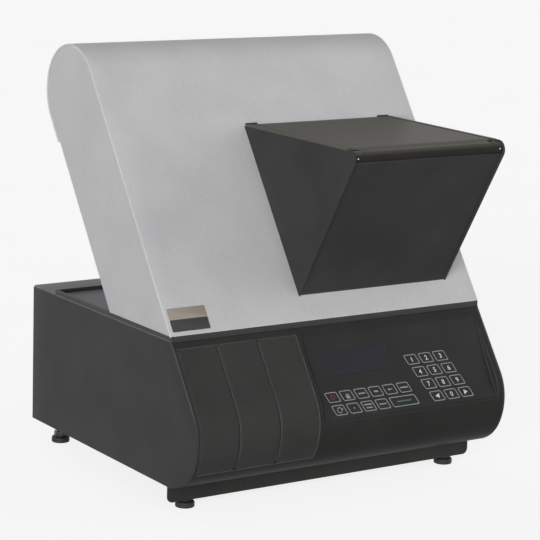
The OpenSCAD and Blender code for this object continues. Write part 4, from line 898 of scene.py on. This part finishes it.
def hopper_shell():
    """Two cheeks, a front wall between them whose top edge follows the lid's roll, and the tabs and the
    lower lip that lie on the hood's face."""
    span = cheek_c - low_point
    lean = math.degrees(math.atan2(span[1], span[0]) + math.asin(cheek_r / np.linalg.norm(span)))
    along = np.array([math.cos(math.radians(lean)), math.sin(math.radians(lean))])
    into = np.array([along[1], -along[0]])
    cheek = np.concatenate([
        [low_point, [hood_face_y(cheek_top_z), cheek_top_z]],
        [[ear_y, cheek_top_z], [ear_y, cheek_c[1] + cheek_r]], arc(cheek_c, cheek_r, 90, lean + 90, 14),
    ])
    outer, inner = low_point + into, low_point + into * (1 + sheet_t)
    near = roll_r + 0.35

    def meets(start):
        """Where a line up the wall comes within `near` of the roll's axis."""
        offset = start - [roll_y, roll_z]
        b, c = offset @ along, offset @ offset - near ** 2
        return start + along * (-b - math.sqrt(max(b * b - c, 0)))

    top_out, top_in = meets(outer), meets(inner)
    ends = [math.degrees(math.atan2(p[1] - roll_z, p[0] - roll_y)) % 360 for p in (top_out, top_in)]
    cap = arc((roll_y, roll_z), near, ends[1], ends[0], 6)
    low_out = outer + along * 0.6
    low_in = inner + along * (0.6 + sheet_t * 0.4)
    wall = np.concatenate([[low_out, low_in], cap])
    (x0, x1), tab_w, tab_v, lip_v = hopper_x, 14, (rim_v - 29, rim_v + 1), (27.8, 33.3)
    in0, in1 = x0 + sheet_t, x1 - sheet_t
    parts = [plate_at(x0, in0, cheek), plate_at(in1, x1, cheek), plate_at(in0 - 0.3, in1 + 0.3, wall)]
    for left, right, low, high in [
        (in0, in0 + tab_w, *tab_v), (in1 - tab_w, in1, *tab_v), (in0, in1, *lip_v)
    ]:
        corners = np.array([(left, low), (right, low), (right, high), (left, high)])
        tab, faces = pad(drawn_in(corners), 0, sheet_t, 0.3)
        parts.append((on_slope(tab), faces))
    piece("hopper_shell", parts, hopper_coat, "housing", "hopper_body")


hopper_shell()


# ---- hopper lid
def lid_sheet():
    """Folded sheet: rolled round the rod in front, flat on top, turned down at the back and the sides.
    The roll is an arc of roll_r from 325 degrees over the front to 90 degrees, and behind it the sheet
    rises by lid_lift as t^2 (3 - 2 t). Along each side a rim with a round shoulder covers the cheek's top
    edge; the rims wear a lighter coat, a painted highlight, and a dark cord between each rim and the sheet
    is painted shade in the gap there."""
    lid_z, flange, back_flange, back_gap, groove = roll_z + roll_r, 8.0, 6, 3.4, 2.4
    x0, x1, roll_x0, roll_x1 = -23.2, 150.0, -17.0, 143.8
    corner_y, flange_y = roll_y + roll_r + 0.4, roll_y + roll_r + 7.5
    back = hood_face_y(lid_z + lid_lift) - back_gap
    roll = arc((roll_y, roll_z), roll_r, 325, 90, 33)
    flat_y = steps(roll_y, corner_y, flange_y, flange_y + 2, back)[1:]
    flat_y = np.unique(np.concatenate([flat_y, np.linspace(roll_y, flange_y, 10)[1:]]))
    t = np.clip((flat_y - roll_y) / (flange_y - roll_y), 0, 1)
    profile = np.concatenate([
        roll, np.column_stack([flat_y, lid_z + lid_lift * t ** 2 * (3 - 2 * t)]),
        [[back - math.tan(hood_lean) * back_flange, lid_z + lid_lift - back_flange]],
    ])
    x = np.concatenate([[x0], steps(x0, roll_x0, roll_x1, x1, most=20), [x1]])
    points = profile_sheet(profile, x)
    points[:-1, [0, -1], 2] = lid_z - flange
    row_y = profile[:, 0]
    on_top = np.arange(len(profile) - 1) >= len(roll)
    middle = (row_y[1:] + row_y[:-1]) / 2
    keep = np.ones((len(profile) - 1, len(x) - 1), bool)
    outer = ~inside(x, roll_x0, roll_x1)
    keep[~(on_top & (middle > corner_y))[:, None] & outer[None, :]] = False
    sides = np.zeros(len(x) - 1, bool)
    sides[[0, -1]] = True
    keep[(~(on_top & (middle > flange_y)))[:, None] & sides[None, :]] = False
    keep[-1, [0, -1]] = False
    piece(
        "lid_sheet", [(points, cells(*points.shape[:2], keep=keep))], lid_coat, "lid",
        "hopper_lid", solid=1.5, edge=0.5,
    )
    rim = np.concatenate([
        [(-29.9, 358.75), (-27.9, 358.75), (-27.9, 355.8), (x0, 355.8), (x0, 356.3), (x0 - groove, 356.3)],
        [(x0 - groove, 360.7), (x0 - groove - 0.4, 361.1)], arc((-28.4, 359.3), 1.8, 90, 180, 9),
        [(-30.2, 359.0)],
    ])
    other = (rim * [-1, 1] + [x0 + x1, 0])[::-1]
    rims = [strip(line, (ear_y + 0.4, back - 0.9), along_y=True) for line in (rim, other)]
    # The rims' lighter coat is a painted highlight.
    piece("lid_rims", rims, lit_rim_coat, "lid")
    # Dark cords beside the rims, standing in for the shade of the gaps: painted shade.
    cord = rounded(2.2, 4.0, 0.3) + [0.1, 356.4]
    shade_cords = [strip(cord + [x, 0], (ear_y + 0.5, back - 1.0), along_y=True) for x in (x0 - groove, x1)]
    piece("lid_shade_cords", shade_cords, shade_rubber, "lid", sharp=35)


lid_sheet()

# The blocks carry the roll on to the cheeks, less a hairline, with a flat top up to the lid, and each is
# held by a small pin in front.
block_back = roll_y + 5.6
block_line = np.concatenate([
    arc((roll_y, roll_z), roll_r, 90, 390, 40), [(block_back, roll_z + 3.3), (block_back, roll_z + roll_r)]
])
blocks = [plate_at(*ends, block_line) for ends in ((-28.2, -17.3), (144.1, 155.0))]
piece("pivot_blocks", blocks, lid_coat, "housing", "hinge_blocks")
pins = [
    turned([0.8, 0.8, 0.5], [-1.0, 0.1, 0.3], (x, roll_y - roll_r, roll_z + 0.6), (0, -1, 0.1), around=20)
    for x in (-24.9, 151.4)
]
piece("pivot_pins", pins, ground_steel, "housing")
rod_line = [(1.6, 0), (2.0, 0.4), (2.0, 181.8), (1.6, 182.2)]
piece(
    "pivot_rod", [turned(*zip(*rod_line), (-27.7, roll_y, roll_z), (1, 0, 0))], ground_steel, "lid",
    "lid_hinge_rod",
)


# ---- feet and screws
def foot(corner):
    """A turned rubber pad under a threaded stud with a hexagon nut; the nut's flats are a / cos(angle)."""
    low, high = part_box("foot_pad_" + corner)
    upright = ((low.x + high.x) * 500, (low.y + high.y) * 500, 0), (0, 0, 1)
    rim = [(8.8, 0), (9.4, 0.2), (9.75, 0.8), (9.75, 4.6), (9.5, 5.3), (8.75, 6.0)]
    piece(
        "pad_" + corner, [turned(*zip(*rim), *upright)], foot_rubber, "foot_" + corner,
        "foot_pad_" + corner,
    )
    stud_r, root_r, half_pitch, turns = 4.0, 3.45, 0.55, 15
    thread = np.tile([root_r, stud_r], turns)[:-1]
    thread = np.column_stack([thread, 12.0 + np.arange(len(thread)) * half_pitch])
    ends = [[stud_r, 6.0], [stud_r, 11.9]], [[stud_r, 28.5], [stud_r, 39.4], [3.4, 40.0]]
    thread = np.concatenate([ends[0], thread, ends[1]])
    angle = np.linspace(0, 2 * np.pi, 72, endpoint=False)
    flat = 6.5 / np.cos((angle + np.pi / 6) % (np.pi / 3) - np.pi / 6)
    bore, corner_cut = np.full(72, stud_r), np.minimum(flat, 6.6)
    rings = [corner_cut, flat, flat, corner_cut, bore, bore]
    nut = turned(rings, [6, 6.5, 11.5, 12, 12, 6], *upright, around=72, caps=False)
    stud = turned(*thread.T, *upright, around=32)
    piece(
        "stud_" + corner, [stud, nut], black_zinc, "foot_" + corner, "foot_stud_" + corner,
        sharp=40,
    )


for corner in ("front_left", "front_right", "back_left", "back_right"):
    foot(corner)


def screw_head(centre, axis, radius=3.5, height=2.0):
    """A pan head: h(r) = height (1 - 0.35 (r / radius)^4) with a rounded rim and a cross-shaped recess."""
    half_slot, reach, depth = 0.42, 1.9, 0.9
    angle = np.linspace(0, 2 * np.pi, 96, endpoint=False)
    r = radius * np.concatenate([[1.0, 1.0], np.linspace(0.97, 0.02, 26)])[:, None]
    level = height * (1 - 0.35 * (r / radius) ** 4)
    level[0] = 0
    across, up = np.abs(r * np.cos(angle)), np.abs(r * np.sin(angle))
    slot = (np.minimum(across, up) < half_slot) & (np.maximum(across, up) < reach)
    return turned(np.broadcast_to(r, slot.shape), level - depth * slot, centre, axis, around=96)


slope_out = (0, -math.cos(hood_lean), math.sin(hood_lean))
heads = [screw_head(on_slope([x, rim_v - 21, 2.0]), slope_out, height=2.2) for x in (-18.2, 145.0)]
piece("tab_screws", heads, black_oxide, "housing", "hopper_screws", sharp=50)
heads = [screw_head((x, 173.5, z), (0, 1, 0)) for x in (-178.3, 178.3) for z in (52.5, 154.0)]
piece("rear_screws", heads, black_oxide, "housing", "panel_screws", sharp=50)


# ---- floor, light and backdrop
def looked_at(material):
    """1 where the camera, a mirror or a glass looks at a surface itself, and 0 where it lights others."""
    ray = add(material, "LightPath", {})
    direct = ray["Is Camera Ray"]
    for kind in ("Is Transmission Ray", "Is Glossy Ray"):
        direct = add(material, "Math", {"operation": "MAXIMUM"}, {0: direct, 1: ray[kind]})[0]
    return direct


# Matt paper: its fibres only just show, and it looks white while it lights the machine as a mid grey.
backdrop = "#f6f6f6"
floor_paper = bpy.data.materials.new("studio_paper")
floor_paper.use_nodes = True
where = add(floor_paper, "TexCoord", {})["Object"]
fibre = add(floor_paper, "TexNoise", {"Scale": 3.0}, {"Vector": where})
tone = add(
    floor_paper, "ValToRGB", {"stops": [(0.4, "#8a8a8a"), (0.6, "#8d8d8d")]}, {"Fac": fibre[0]}
)
paper = floor_paper.node_tree.nodes["Principled BSDF"]
paper.inputs["Roughness"].default_value = 0.95
paper.inputs["Specular IOR Level"].default_value = 0.0
paper.inputs["Emission Color"].default_value = linear(backdrop)
lift = add(floor_paper, "Math", {"operation": "MULTIPLY", 1: 0.89}, {0: looked_at(floor_paper)})
for socket, key in ((tone[0], "Base Color"), (lift[0], "Emission Strength")):
    floor_paper.node_tree.links.new(socket, paper.inputs[key])
reach = 15.0
floor_mesh = bpy.data.meshes.new("floor")
floor_mesh.from_pydata(
    [(-reach, -reach, 0), (reach, -reach, 0), (reach, reach, 0), (-reach, reach, 0)], [], [(0, 1, 2, 3)]
)
floor_mesh.materials.append(floor_paper)
floor = placed("floor", floor_mesh)


def soft_light(name, azimuth, elevation, strength, spread):
    """A soft lamp far off: it shines from an azimuth, where 0 is the front and 90 the right."""
    lamp = bpy.data.lights.new(name, "SUN")
    lamp.energy = strength
    lamp.angle = math.radians(spread)
    thing = placed(name, lamp)
    a, e = math.radians(azimuth), math.radians(elevation)
    towards = Vector((math.sin(a) * math.cos(e), -math.cos(a) * math.cos(e), math.sin(e)))
    thing.matrix_world = towards.to_track_quat("Z", "Y").to_matrix().to_4x4()


soft_light("key_light", -48, 4, 3.4, 45)
soft_light("front_light", -5, 3, 0.7, 110)
soft_light("back_light", 188, 4, 1.5, 50)
soft_light("right_light", 80, 8, 1.0, 50)

world = bpy.data.worlds.new("studio")
bpy.context.scene.world = world
world.use_nodes = True
plain = world.node_tree.nodes["Background"]
plain.inputs["Color"].default_value = linear(backdrop)
strength = add(world, "MapRange", {"To Min": 0.13, "To Max": 1.0}, {"Value": looked_at(world)})
world.node_tree.links.new(strength[0], plain.inputs["Strength"])
bpy.context.scene.view_settings.view_transform = "Standard"
